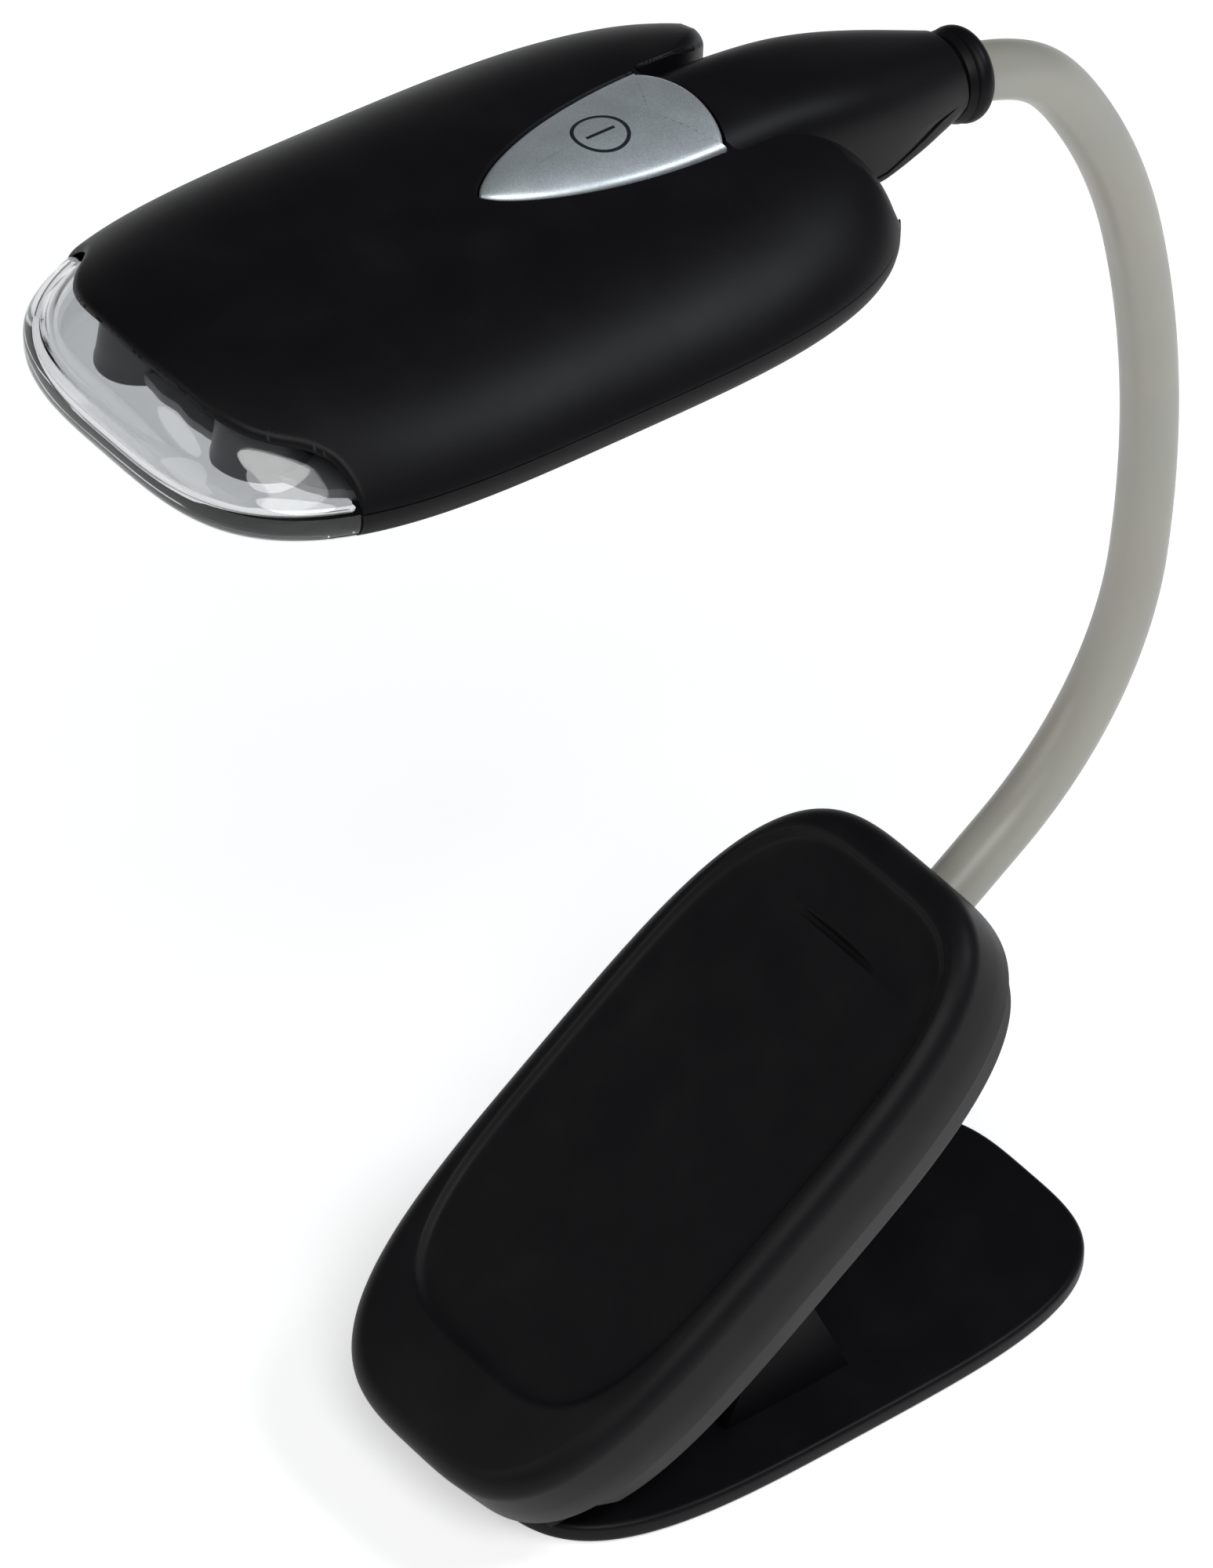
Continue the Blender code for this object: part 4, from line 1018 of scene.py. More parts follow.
@dataclass
class BatteryHousing:
    """The upper half of the clip: a tray with three cells under a dished cover."""

    hinge: Hinge
    length: float = 84.3
    width: float = 43.0
    squareness: float = 3.46
    height: float = 10.4
    rounding: float = 3.0
    wall: float = 1.6
    dish_length: float = 68.8
    dish_width: float = 37.2
    dish_squareness: float = 3.85
    dish_shift: float = 4.1
    dish_depth: float = 0.8
    dish_slope: float = 1.2
    cavity_inset: float = 5.1
    notch_along: float = 29.8
    notch_width: float = 14.0
    notch_depth: float = 0.7
    notch_thickness: float = 1.0
    tray_inset: float = 2.0
    tray_depth: float = 5.6
    tray_lip: float = 3.0
    tray_chamfer: float = 0.8
    tray_lug_near: float = 8.2
    lug_thickness: float = 2.0
    lug_radius: float = 3.3
    pin_hole: float = 1.5
    cell_spacing: float = 11.8
    well_radius: float = 5.55
    well_end: float = 24.0
    well_length: float = 50.0
    well_height: float = 1.15
    neck_drop: float = 1.6
    neck_seat: float = 13.25
    neck_fit: float = 3.45
    jaw_face: float = 5.3
    screw_hole: float = 1.15

    def ring(self, inward: float, height: float) -> Ring:
        """The housing's outline moved in by an amount."""
        return superellipse(self.length / 2 - inward, self.width / 2 - inward, self.squareness, height)

    def dish(self, inward: float, height: float) -> Ring:
        """The outline of the dished face moved in by an amount."""
        half_length, half_width = self.dish_length / 2 - inward, self.dish_width / 2 - inward
        return superellipse(half_length, half_width, self.dish_squareness, height, shift=self.dish_shift)

    def build(self, shop: Workshop) -> None:
        """Makes the cover and the tray, and finishes what lies inside."""
        placement = self.hinge.housing()
        cover, node = self.cover(), "battery_cover"
        shop.piece("dished_battery_cover", cover, placement, COVER_BLACK, Body.COVER, [node], sharp=40)
        shop.piece("cell_tray", self.tray(placement), placement, INNER_BLACK, Body.HOUSING, ["battery_tray"])
        for number in (1, 2, 3):
            shop.dress_node(f"cell_{number}", WRAP)
            shop.dress_node(f"contact_plate_{number}", BRASS)
            shop.dress_node(f"contact_spring_{number}", STEEL)
        shop.dress_node("neck_screw", STEEL)

    def cover(self) -> Work:
        """The soap-bar cover with its soft dished step and fingernail notch."""
        top, floor = self.height, self.height - self.dish_depth
        corner = top - self.rounding
        wall = [(0.3, 0.0), (0.09, 0.1), (0.0, 0.35), (0.0, corner * 0.5)]
        wall += arc((self.rounding, corner), self.rounding, 180, 100, 10)
        outer = [self.ring(inward, height) for inward, height in wall]
        soft = 0.45
        brim = ((-0.55, 0.03), (-0.3, 0.0), (0.0, 0.02), (0.12, 0.08), (0.24, 0.2), (soft, 0.42))
        for inward, drop in brim:
            outer.append(self.dish(inward, top - drop))
        slope = self.dish_slope
        for inward, rise in ((soft + 0.2, 0.18), (soft + 0.36, 0.07), (slope, 0.0), (slope + 0.8, 0.0)):
            outer.append(self.dish(inward, floor + rise))
        inner = [
            self.ring(self.cavity_inset, floor - self.wall),
            self.ring(self.wall, corner - self.wall),
            self.ring(self.wall, 0.0),
        ]
        arch = rod(self.neck_fit + 0.15, 6, (self.length / 2, 0, -self.neck_drop), Axis.FORWARD, 64)
        return carve(loft(inner + outer), [arch, self.notch(floor)])

    def notch(self, floor: float) -> Work:
        """The fingernail notch's cutter: a thin disc with a raked side."""
        sweep = (self.notch_width**2 / 4 + self.notch_depth**2) / (2 * self.notch_depth)
        half = self.notch_thickness / 2
        profile = ((sweep - 1.1, -half * 2.4), (sweep, -half * 0.4), (sweep, half))
        place = (self.notch_along, 0, floor - self.notch_depth + sweep)
        return moved(turned(profile, 360), place, Axis.FORWARD)

    def tray(self, placement: Placement) -> Work:
        """The tray with its lugs, cell wells, jaw face and gooseneck seat."""
        inset, deep = self.tray_inset, self.tray_depth
        soft = arc((self.tray_chamfer, self.tray_chamfer), self.tray_chamfer, 270, 180, 5)
        rings = [self.ring(inset + x, z - deep) for x, z in soft]
        rings += [self.ring(inset, self.tray_lip - 0.3), self.ring(inset + 0.3, self.tray_lip)]
        pivot = (-self.hinge.along, -self.hinge.drop)
        outline = lug_outline(pivot, self.lug_radius, 1.8 * self.lug_radius, -self.tray_depth / 1.1)
        lugs = lug_pair(outline, self.tray_lug_near, self.lug_thickness)
        end, half = self.length / 2, self.well_length / 2
        tools = [rod(self.pin_hole, DRILL_REACH, (pivot[0], 0, pivot[1]), Axis.ACROSS)]
        for number in (-1, 0, 1):
            place = (self.well_end - half, number * self.cell_spacing, self.well_height)
            tools.append(rod(self.well_radius, half, place, Axis.FORWARD, 64))
        tools.append(rod(self.neck_fit, self.neck_seat, (end, 0, -self.neck_drop), Axis.FORWARD, 64))
        place = (end - self.neck_seat / 2, 0, self.tray_lip)
        tools.append(rod(self.screw_hole, self.tray_lip, place, Axis.UP, 24))
        front = self.hinge.place_mm[0] - self.lug_radius
        jaw = prism([(-300, -99), (front, -99), (front, 99), (-300, 99)], -100, self.jaw_face)
        jaw.transform(placement.matrix().inverted() @ GROUND.matrix())
        return carve(carve(loft(rings), lugs, "UNION"), [*tools, jaw])


# ---------------------------------------------------------------- the gooseneck
@dataclass
class Gooseneck:
    """The bendable neck: its line from the housing to the head, and the sleeve that covers it."""

    hinge: Hinge
    housing_half: float = 42.15
    radius: float = 3.18
    bore: float = 1.9
    drop: float = 1.6
    seat: float = 13.0
    bends: tuple[Pair, ...] = ((8, 0), (37, 48.5), (45.8, 19.7), (24, 19.7), (17, 32), (7, 12))
    tail: float = 8.0
    first_joint: float = 9.0
    spacing: float = 18.0
    joints: int = 7
    ring_step: float = 0.75
    sides: int = 48
    settle: float = 1.9
    settle_span: Pair = (119.0, 135.0)

    @property
    def length(self) -> float:
        """The bent length of the neck's line."""
        return sum(length for length, _ in self.bends)

    def point(self, distance: float) -> tuple[Vector, float]:
        """The line's place in the model's millimetres, and its heading, at a distance past the housing."""
        tilt, spot = self.hinge.tilt, self.hinge.spot / MM
        along, rise = self.housing_half + self.hinge.along, self.hinge.drop - self.drop
        x = spot.x + along * math.cos(tilt) - rise * math.sin(tilt)
        z = spot.z + along * math.sin(tilt) + rise * math.cos(tilt)
        heading, left = tilt, distance
        for length, turn in self.bends if distance > 0 else ():
            run = min(left, length)
            bend = math.radians(turn) * run / length
            chord = run if abs(bend) < 1e-9 else 2 * run / bend * math.sin(bend / 2)
            x += chord * math.cos(heading + bend / 2)
            z += chord * math.sin(heading + bend / 2)
            heading += bend
            left -= run
        z -= self.settle * self.eased(distance)
        return Vector((x + left * math.cos(heading), 0, z + left * math.sin(heading))), heading

    def eased(self, distance: float) -> float:
        """How far the line has settled toward the barrel's lower axis, from 0 to 1."""
        start, end = self.settle_span
        share = min(max((distance - start) / (end - start), 0.0), 1.0)
        return share * share * (3 - 2 * share)

    def ring(self, distance: float, radius: float) -> Ring:
        """A ring across the line."""
        centre, heading = self.point(distance)
        up = Vector((-math.sin(heading), 0, math.cos(heading)))
        turns = [2 * math.pi * index / self.sides for index in range(self.sides)]
        sides = [Vector((0, radius * math.sin(t), 0)) for t in turns]
        return [tuple(centre + up * radius * math.cos(t) + side) for t, side in zip(turns, sides)]

    def build(self, shop: Workshop) -> None:
        """Makes one sleeve length over each joint."""
        for number in range(1, self.joints + 1):
            middle = self.first_joint + (number - 1) * self.spacing
            start = -self.seat if number == 1 else middle - self.spacing / 2
            end = self.length + self.tail if number == self.joints else middle + self.spacing / 2
            steps = math.ceil((end - start) / self.ring_step)
            stops = [start + (end - start) * step / steps for step in range(steps + 1)]
            outer = [self.ring(stop, self.radius) for stop in stops]
            inner = [self.ring(stop, self.bore) for stop in reversed(stops)]
            covered = [f"neck_tube_{number}"] + ([f"neck_tube_{number + 1}"] if number == self.joints else [])
            tube = loft(outer + inner, closed=True)
            sleeve = shop.piece(f"neck_sleeve_{number}", tube, GROUND, SLEEVE, None, covered)
            before, after = (self.point(middle + side * self.spacing * 0.47)[0] for side in (-1, 1))
            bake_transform(sleeve)
        for number in range(1, self.joints + 2):
            shop.dress_node(f"neck_core_{number}", STEEL)


# ---------------------------------------------------------------- the head
OUTSIDE = 60.0
BOARD_MIDDLE = (-4.65, 0.0, -1.55)


@dataclass
class HeadShape:
    """The head's frame and the shapes that its pieces share."""

    placement: Placement
    half_length: float = 44.35
    half_width: float = 27.4
    squareness: float = 3.4
    crown: float = 9.4
    nose_lean: float = 12.0
    depth: float = 3.7
    nose_edge: tuple[Pair, ...] = (
        *((0.0, -40.2), (3.0, -40.1), (7.0, -39.75), (10.0, -39.3), (12.3, -38.6), (14.6, -37.35)),
        *((16.5, -35.65), (18.4, -33.4), (20.4, -31.75), (22.4, -31.1), (26.0, -31.0), (60.0, -31.0)),
    )
    chin: float = -28.0
    gap: float = 0.25
    split: float = 0.075
    button_tip: float = 1.5
    button_length: float = 25.0
    button_half: float = 7.6
    button_bulge: float = 1.6
    button_curve: float = 2.05
    button_point: float = 0.7
    slot_half: float = 8.5
    lobe_start: float = 32.0
    lobe_radius: float = 9.0

    @classmethod
    def from_model(cls) -> "HeadShape":
        """Finds the head's frame from the button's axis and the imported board."""
        press = joint("button_press")["axis"]
        pitch = -math.atan2(-press[0], -press[2])
        low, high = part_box("led_board")
        middle = (low + high) / 2
        local = Vector(BOARD_MIDDLE) * MM
        return cls(Placement(middle - Matrix.Rotation(-pitch, 3, "Y") @ local, pitch))

    def rise(self, share: float | np.ndarray) -> float | np.ndarray:
        """The crown's height on a ring."""
        return self.crown * (1 - (1 - share) ** 3) ** 0.75

    def ring(self, share: float, wall: float = 0.0) -> Ring:
        """A ring of the crowned top: share 0 is the parting line and 1 the middle."""
        height = self.rise(share) - wall
        half_length = self.half_length - self.nose_lean * share**1.5 - wall
        half_width = self.half_width * (1 - share) - wall
        return superellipse(half_length, half_width, self.squareness, max(height, 0.0))

    def low_ring(self, inward: float, height: float) -> Ring:
        """A ring of the shallow underside."""
        return superellipse(self.half_length - inward, self.half_width - inward, self.squareness, height)

    def share(self, x: np.ndarray, y: np.ndarray) -> np.ndarray:
        """Which crown ring each plan point lies on, below 0 outside the outline."""
        low, high = np.full(x.shape, -0.05), np.full(x.shape, 0.9995)
        for _ in range(46):
            middle = (low + high) / 2
            half_length = self.half_length - self.nose_lean * np.sign(middle) * np.abs(middle) ** 1.5
            half_width = self.half_width * (1 - middle)
            reach = np.abs(x / half_length) ** self.squareness + np.abs(y / half_width) ** self.squareness
            low, high = np.where(reach < 1, middle, low), np.where(reach < 1, high, middle)
        return (low + high) / 2

    def height(self, x: np.ndarray, y: np.ndarray) -> np.ndarray:
        """The crown's height over each plan point."""
        share = np.clip(self.share(x, y), 0.0, 1.0)
        return self.rise(share)

    def nose_line(self, across: float | np.ndarray) -> float | np.ndarray:
        """How far forward the top shell reaches at a distance from the middle."""
        spots, reach = np.array(self.nose_edge).T
        slopes = np.gradient(reach, spots)
        away = np.minimum(np.abs(across), spots[-1])
        low = np.clip(np.searchsorted(spots, away) - 1, 0, len(spots) - 2)
        width = spots[low + 1] - spots[low]
        part = (away - spots[low]) / width
        rise, bend = part**2 * (3 - 2 * part), part * (1 - part) * width
        eased = reach[low] + (reach[low + 1] - reach[low]) * rise
        return eased + bend * ((1 - part) * slopes[low] - part * slopes[low + 1])

    def bow(self, steps: int) -> np.ndarray:
        """Places along the head over a lobe's rounding, in even steps."""
        return np.linspace(self.lobe_start, self.lobe_start + self.lobe_radius, steps)

    def nose_prism(self, setback: float, low: float, high: float) -> Work:
        """The space in front of the top shell's edge."""
        stops = [-OUTSIDE, *np.linspace(-28.0, 28.0, 113), OUTSIDE]
        edge = [(float(self.nose_line(stop)) - setback, float(stop)) for stop in stops]
        return prism([(-99.0, -OUTSIDE), *edge, (-99.0, OUTSIDE)], low, high)

    def chin_prism(self, setback: float, low: float, high: float) -> Work:
        """The space in front of the bottom cover's edge, where the clear nose reaches further back."""
        near, far = float(self.nose_line(OUTSIDE)) - setback, self.chin - setback
        half = [(far, 19), (near, 23), (near, OUTSIDE), (-99, OUTSIDE)]
        return prism([(x, -y) for x, y in half[::-1]] + half, low, high)

    def button_outline(self, grow: float = 0.0, steps: int = 40) -> list[Pair]:
        """The bullet shape of the power button, pointing forward."""
        rear = self.button_tip + self.button_length
        outline = []
        for step in range(-steps, steps + 1):
            share = (abs(step) / steps) ** 1.6
            side = math.copysign(self.button_width(share), step) if step else 0.0
            ahead = self.button_tip + self.button_length * share - grow * (1 - share) ** 3
            outline.append((ahead, side * (1 + grow / self.button_half)))
        for step in range(steps, -steps - 1, -1):
            across = step / steps
            edge = rear + grow + self.button_bulge * (1 - across**2) - 0.5 * across**8
            outline.append((edge, (self.button_half + grow) * across))
        return outline

    def button_width(self, share: float) -> float:
        """Half the button's width at a share of its length from the tip."""
        return self.button_half * (1 - (1 - share) ** self.button_curve) ** self.button_point

    def slot_line(self, x: np.ndarray) -> np.ndarray:
        """Half the width of the barrel's slot along the head, opening round the lobes' rear corners."""
        past = np.clip(x - self.lobe_start, 0.0, self.lobe_radius)
        return self.slot_half + self.lobe_radius - np.sqrt(self.lobe_radius**2 - past**2)


@dataclass
class HeadPart:
    """A sub-assembly in the head's frame."""

    shape: HeadShape

    def fit(
        self,
        shop: Workshop,
        name: str,
        work: Work,
        finish: Finish,
        *replaces: str,
        body: Body = Body.HEAD,
        **edges: float,
    ) -> bpy.types.Object:
        """Makes one piece in the head's frame.

        Args:
            shop: The workshop.
            name: The piece's name.
            work: Its shape, which is used up.
            finish: Its material.
            replaces: The model's nodes that it stands for.
            body: The body it rides on.
            edges: The workshop's settings for sharp or rounded edges.

        Returns:
            The new object.
        """
        return shop.piece(name, work, self.shape.placement, finish, body, replaces, **edges)


@dataclass
class TopShell(HeadPart):
    """The crowned top shell, skinned over its plan with rolled edges at every opening."""

    slot_start: float = 27.3
    lip: float = 1.9
    deep_lip: float = 3.4
    nose_lip: float = 0.75
    nose_overlap: float = 3.2
    nose_roll: float = 0.55
    button_roll: float = 0.35
    slot_roll: float = 0.45
    rear_roll: float = 2.6
    rear_start: float = 32.3
    rear_run: float = 7.0
    button_wall: float = 1.0
    slot_wall: float = 1.2
    slot_corner: float = 0.8
    grid: float = 1.5
    shares: tuple[float, ...] = (0.0015, 0.005, 0.011, 0.02, 0.032, 0.047, 0.065, 0.086, 0.11, 0.14, 0.17)
    offsets: tuple[float, ...] = (0.06, 0.15, 0.28, 0.45, 0.75, 1.1, 1.6)

    def nose_edge(self) -> np.ndarray:
        """The nose edge as plan points, from side to side past the outline."""
        stops = np.linspace(-30, 30, 161)
        return np.stack([self.shape.nose_line(stops), stops], 1)

    def slot_edge(self, grow: float = 0.0) -> np.ndarray:
        """The slot's edge as plan points: in along one side, across its front and out along the other."""
        corner, start = self.slot_corner, self.slot_start - grow
        bow = self.shape.lobe_start + self.shape.lobe_radius * np.sin(np.linspace(math.pi / 2, 0.0, 30))
        along = np.concatenate([[50.0, 46.0, 43.0], bow, np.linspace(bow[-1] - 0.6, start + corner, 8)])
        side = np.stack([along, self.shape.slot_line(along) + grow], 1)
        turns = np.linspace(0, math.pi / 2, 7)[1:]
        inner = self.shape.slot_half + grow
        bend = np.stack([start + corner - corner * np.sin(turns), inner - corner + corner * np.cos(turns)], 1)
        half = np.concatenate([side, bend])
        across = np.stack([np.full(9, start), np.linspace(bend[-1, 1], -bend[-1, 1], 11)[1:-1]], 1)
        return np.concatenate([half, across, half[::-1] * (1, -1)])

    def button_edge(self, grow: float = 0.0) -> np.ndarray:
        """The button opening's edge as plan points, closed."""
        return np.array(self.shape.button_outline(self.shape.gap + grow, 48))

    @staticmethod
    def distance(points: np.ndarray, line: np.ndarray) -> np.ndarray:
        """How far each point lies from a line of plan points."""
        start, step = line[:-1], np.diff(line, axis=0)
        lengths = np.maximum((step**2).sum(1), 1e-12)
        best = np.full(len(points), np.inf)
        for origin, run, length in zip(start, step, lengths):
            share = np.clip((points - origin) @ run / length, 0.0, 1.0)
            gap = points - origin - share[:, None] * run
            best = np.minimum(best, np.hypot(gap[:, 0], gap[:, 1]))
        return best

    def drop(self, gap: np.ndarray, roll: np.ndarray | float) -> np.ndarray:
        """How much a rolled edge lowers the skin at a distance from its opening."""
        share = np.clip(gap / roll, 0.0, 1.0)
        return roll * (1 - np.sqrt(np.maximum(1 - (1 - share) ** 2, 0.0)))

    def skin(self, points: np.ndarray) -> tuple[np.ndarray, np.ndarray]:
        """The outer height and the lower height of the shell over plan points."""
        crown = self.shape.height(points[:, 0], points[:, 1])
        nose = self.distance(points, self.nose_edge())
        slot = self.distance(points, self.slot_edge())
        edge = self.button_edge()
        button = self.distance(points, np.concatenate([edge, edge[:1]]))
        late = np.clip((points[:, 0] - self.rear_start) / self.rear_run, 0.0, 1.0)
        slot_roll = self.slot_roll + (self.rear_roll - self.slot_roll) * late
        fall = np.maximum.reduce(
            [self.drop(nose, self.nose_roll), self.drop(slot, slot_roll), self.drop(button, self.button_roll)]
        )
        outer = np.maximum(crown - fall, self.shape.split)
        depth = np.where(nose < self.nose_overlap, self.nose_lip, self.lip)
        depth = np.where(button < self.button_wall, self.deep_lip, depth)
        lower = np.maximum(crown - depth, self.shape.split)
        lower = np.where(slot < self.slot_wall, self.shape.split, lower)
        return outer, np.minimum(lower, outer)

    def inside(self, points: np.ndarray) -> np.ndarray:
        """Which plan points lie in the shell."""
        x, y = points[:, 0], points[:, 1]
        kept = self.shape.share(x, y) > 0
        kept &= x > self.shape.nose_line(y)
        kept &= (x < self.slot_start) | (np.abs(y) > self.shape.slot_line(x))
        return kept & ~self.within(points, self.button_edge())

    @staticmethod
    def within(points: np.ndarray, loop: np.ndarray) -> np.ndarray:
        """Which plan points lie inside a closed loop."""
        hit = np.zeros(len(points), bool)
        for first, second in zip(loop, np.roll(loop, -1, axis=0)):
            crosses = (first[1] > points[:, 1]) != (second[1] > points[:, 1])
            slope = np.where(second[1] == first[1], 1e-12, second[1] - first[1])
            reach = first[0] + (points[:, 1] - first[1]) * (second[0] - first[0]) / slope
            hit ^= crosses & (points[:, 0] < reach)
        return hit

    def plan(self) -> tuple[np.ndarray, list[tuple[int, ...]]]:
        """The plan's points and triangles."""
        outline = np.array(self.shape.low_ring(0.0, 0.0))[:, :2]
        lines = [(outline, True), (self.nose_edge(), False)]
        lines += [(self.slot_edge(), False), (self.button_edge(), True)]
        spots: list[np.ndarray] = []
        edges: list[tuple[int, int]] = []
        count = 0
        for line, closed in lines:
            last = len(line) if closed else len(line) - 1
            edges += [(count + index, count + (index + 1) % len(line)) for index in range(last)]
            spots.append(line)
            count += len(line)
        fill = [np.array(self.shape.ring(share))[:, :2] for share in self.shares]
        for away in self.offsets:
            fill += [self.nose_edge() + (away, 0.0), self.slot_edge(away), self.button_edge(away)]
        across = np.arange(-self.shape.half_width, self.shape.half_width, self.grid)
        along = np.arange(-self.shape.half_length, self.shape.half_length, self.grid)
        mesh = np.stack(np.meshgrid(along, across), -1).reshape(-1, 2)
        far = self.shape.share(mesh[:, 0], mesh[:, 1]) > self.shares[-1] + 0.02
        for line, _ in lines[1:]:
            far &= self.distance(mesh, line) > self.offsets[-1] + 0.4
        fill.append(mesh[far])
        loose = np.concatenate(fill)
        loose = loose[self.inside(loose)]
        spots.append(loose)
        coords = [Vector(spot) for spot in np.concatenate(spots)]
        verts, _, faces, *_ = delaunay_2d_cdt(coords, edges, [], 0, 1e-5)
        points = np.array([tuple(vert) for vert in verts])
        centres = np.array([points[list(face)].mean(0) for face in faces])
        kept = self.inside(centres)
        return points, [tuple(face) for face, keep in zip(faces, kept) if keep]

    def build(self, shop: Workshop) -> None:
        """Makes the shell with smooth normals on its outer skin."""
        points, faces = self.plan()
        outer, lower = self.skin(points)
        work = bmesh.new()
        upper = [work.verts.new((x, y, z)) for (x, y), z in zip(points, outer)]
        under = [work.verts.new((x, y, z)) for (x, y), z in zip(points, lower)]
        for face in faces:
            work.faces.new([upper[index] for index in face])
            work.faces.new([under[index] for index in reversed(face)])
        sides: dict[tuple[int, int], int] = {}
        for face in faces:
            for first, second in zip(face, face[1:] + face[:1]):
                sides[first, second] = sides.get((first, second), 0) + 1
        for first, second in sides:
            if (second, first) not in sides:
                work.faces.new((upper[second], upper[first], under[first], under[second]))
        used = {index for face in faces for index in face}
        loose = [vert for index, pair in enumerate(zip(upper, under)) if index not in used for vert in pair]
        bmesh.ops.delete(work, geom=loose, context="VERTS")
        bmesh.ops.remove_doubles(work, verts=work.verts, dist=1e-4)
        bmesh.ops.recalc_face_normals(work, faces=work.faces)
        self.smooth(self.fit(shop, "crowned_top_shell", work, SATIN_BLACK, "head_top_shell", sharp=32))

    def smooth(self, shell: bpy.types.Object) -> None:
        """Gives the outer skin the true surface's normals."""
        data = shell.data
        back = self.shape.placement.matrix().inverted()
        turn = self.shape.placement.matrix().to_3x3().normalized()
        places = np.array([back @ vert.co for vert in data.vertices])
        step = 0.02
        shifts = ((step, 0), (-step, 0), (0, step), (0, -step))
        east, west, north, south = (self.skin(places[:, :2] + shift)[0] for shift in shifts)
        slope = np.stack([west - east, south - north, np.full(len(places), 2 * step)], 1)
        slope /= np.linalg.norm(slope, axis=1)[:, None]
        top = np.abs(places[:, 2] - self.skin(places[:, :2])[0]) < 1e-3
        rim = self.shape.share(places[:, 0], places[:, 1]) < 0.001
        normals = [Vector()] * len(data.loops)
        for face in data.polygons:
            corners = [data.loops[index].vertex_index for index in face.loop_indices]
            if (face.normal @ turn).z < 0.05 or not all(top[corner] for corner in corners):
                continue
            for index, corner in zip(face.loop_indices, corners):
                if not rim[corner]:
                    normals[index] = turn @ Vector(slope[corner])
        data.normals_split_custom_set(normals)


@dataclass
class HeadUnderside(HeadPart):
    """The shallow bottom cover, its screws and the clear nose in front of it."""

    wall: float = 1.7
    lens_wall: float = 1.6
    lens_drop: float = 0.8
    lens_ease: float = 0.09
    lens_tuck: float = 2.6
    lens_step: float = 0.4
    floor_wall: float = 1.4
    slot_start: float = 28.85
    screw_places: tuple[Pair, ...] = ((-22.0, 17.0), (24.5, 15.5))
    seat_radius: float = 2.25
    seat_depth: float = 0.6

    def under_rings(self) -> list[Ring]:
        """The outer rings from the parting line down to the flat underside."""
        steps = ((0.28, -0.05), (0.06, -0.2), (0.0, -0.5), (0.0, -1.2), (0.12, -1.9))
        steps += ((0.36, -2.5), (0.8, -3.1), (1.4, -3.5), (2.1, -self.shape.depth))
        return [self.shape.low_ring(inward, height) for inward, height in steps]

    def build(self, shop: Workshop) -> None:
        """Makes the bottom cover and the clear nose."""
        shape = self.shape
        steps = ((self.wall + 0.4, self.floor_wall - shape.depth), (self.wall, -0.05))
        inner = [shape.low_ring(inward, height) for inward, height in steps]
        tools = [shape.chin_prism(0.0, -OUTSIDE, OUTSIDE)]
        along = np.concatenate([[self.slot_start], shape.bow(16), [OUTSIDE]])
        side = [(float(x), float(half)) for x, half in zip(along, shape.slot_line(along))]
        tools.append(prism([(x, -half) for x, half in side] + side[::-1], -OUTSIDE, OUTSIDE))
        for along, aside in self.screw_places:
            for side in (-1, 1):
                place = (along, side * aside, -shape.depth)
                tools.append(rod(self.seat_radius, self.seat_depth, place, Axis.UP, 40))
        pan = carve(loft(inner + self.under_rings()), tools)
        self.fit(shop, "bottom_cover", pan, COVER_BLACK, "head_floor")
        self.fit(shop, "clear_nose", self.lens(), LENS_GREY_SHADE, "front_lens", sharp=40)
        for number in (1, 2, 3, 4):
            shop.dress_node(f"head_screw_{number}", STEEL)

    def lens(self) -> Work:
        """The hollow clear nose."""
        shape = self.shape
        shares = (0.003, 0.012, 0.03, 0.055, 0.09, 0.13, 0.18, 0.24, 0.32, 0.42, 0.55, 0.7)
        outer = self.under_rings()[:1:-1] + [shape.low_ring(0.0, 0.0)]
        outer += [shape.ring(share, self.lens_drop * min(1.0, share / self.lens_ease)) for share in shares]
        wall = self.lens_wall
        low = wall - shape.depth
        steps = ((2.1 + wall, low), (0.8 + wall, 0.7 + low), (wall, -0.3), (wall, 0.0))
        inner = [shape.low_ring(inward, height) for inward, height in steps]
        inner += [shape.ring(share, wall) for share in (0.07, *shares[5:])]
        chin = shape.chin_prism(shape.gap, -OUTSIDE, self.lens_step)
        front = carve(shape.nose_prism(-self.lens_tuck, self.lens_step, OUTSIDE), [chin], "UNION")
        solid = carve(loft(outer), [front], "INTERSECT")
        return carve(solid, [loft(inner)])


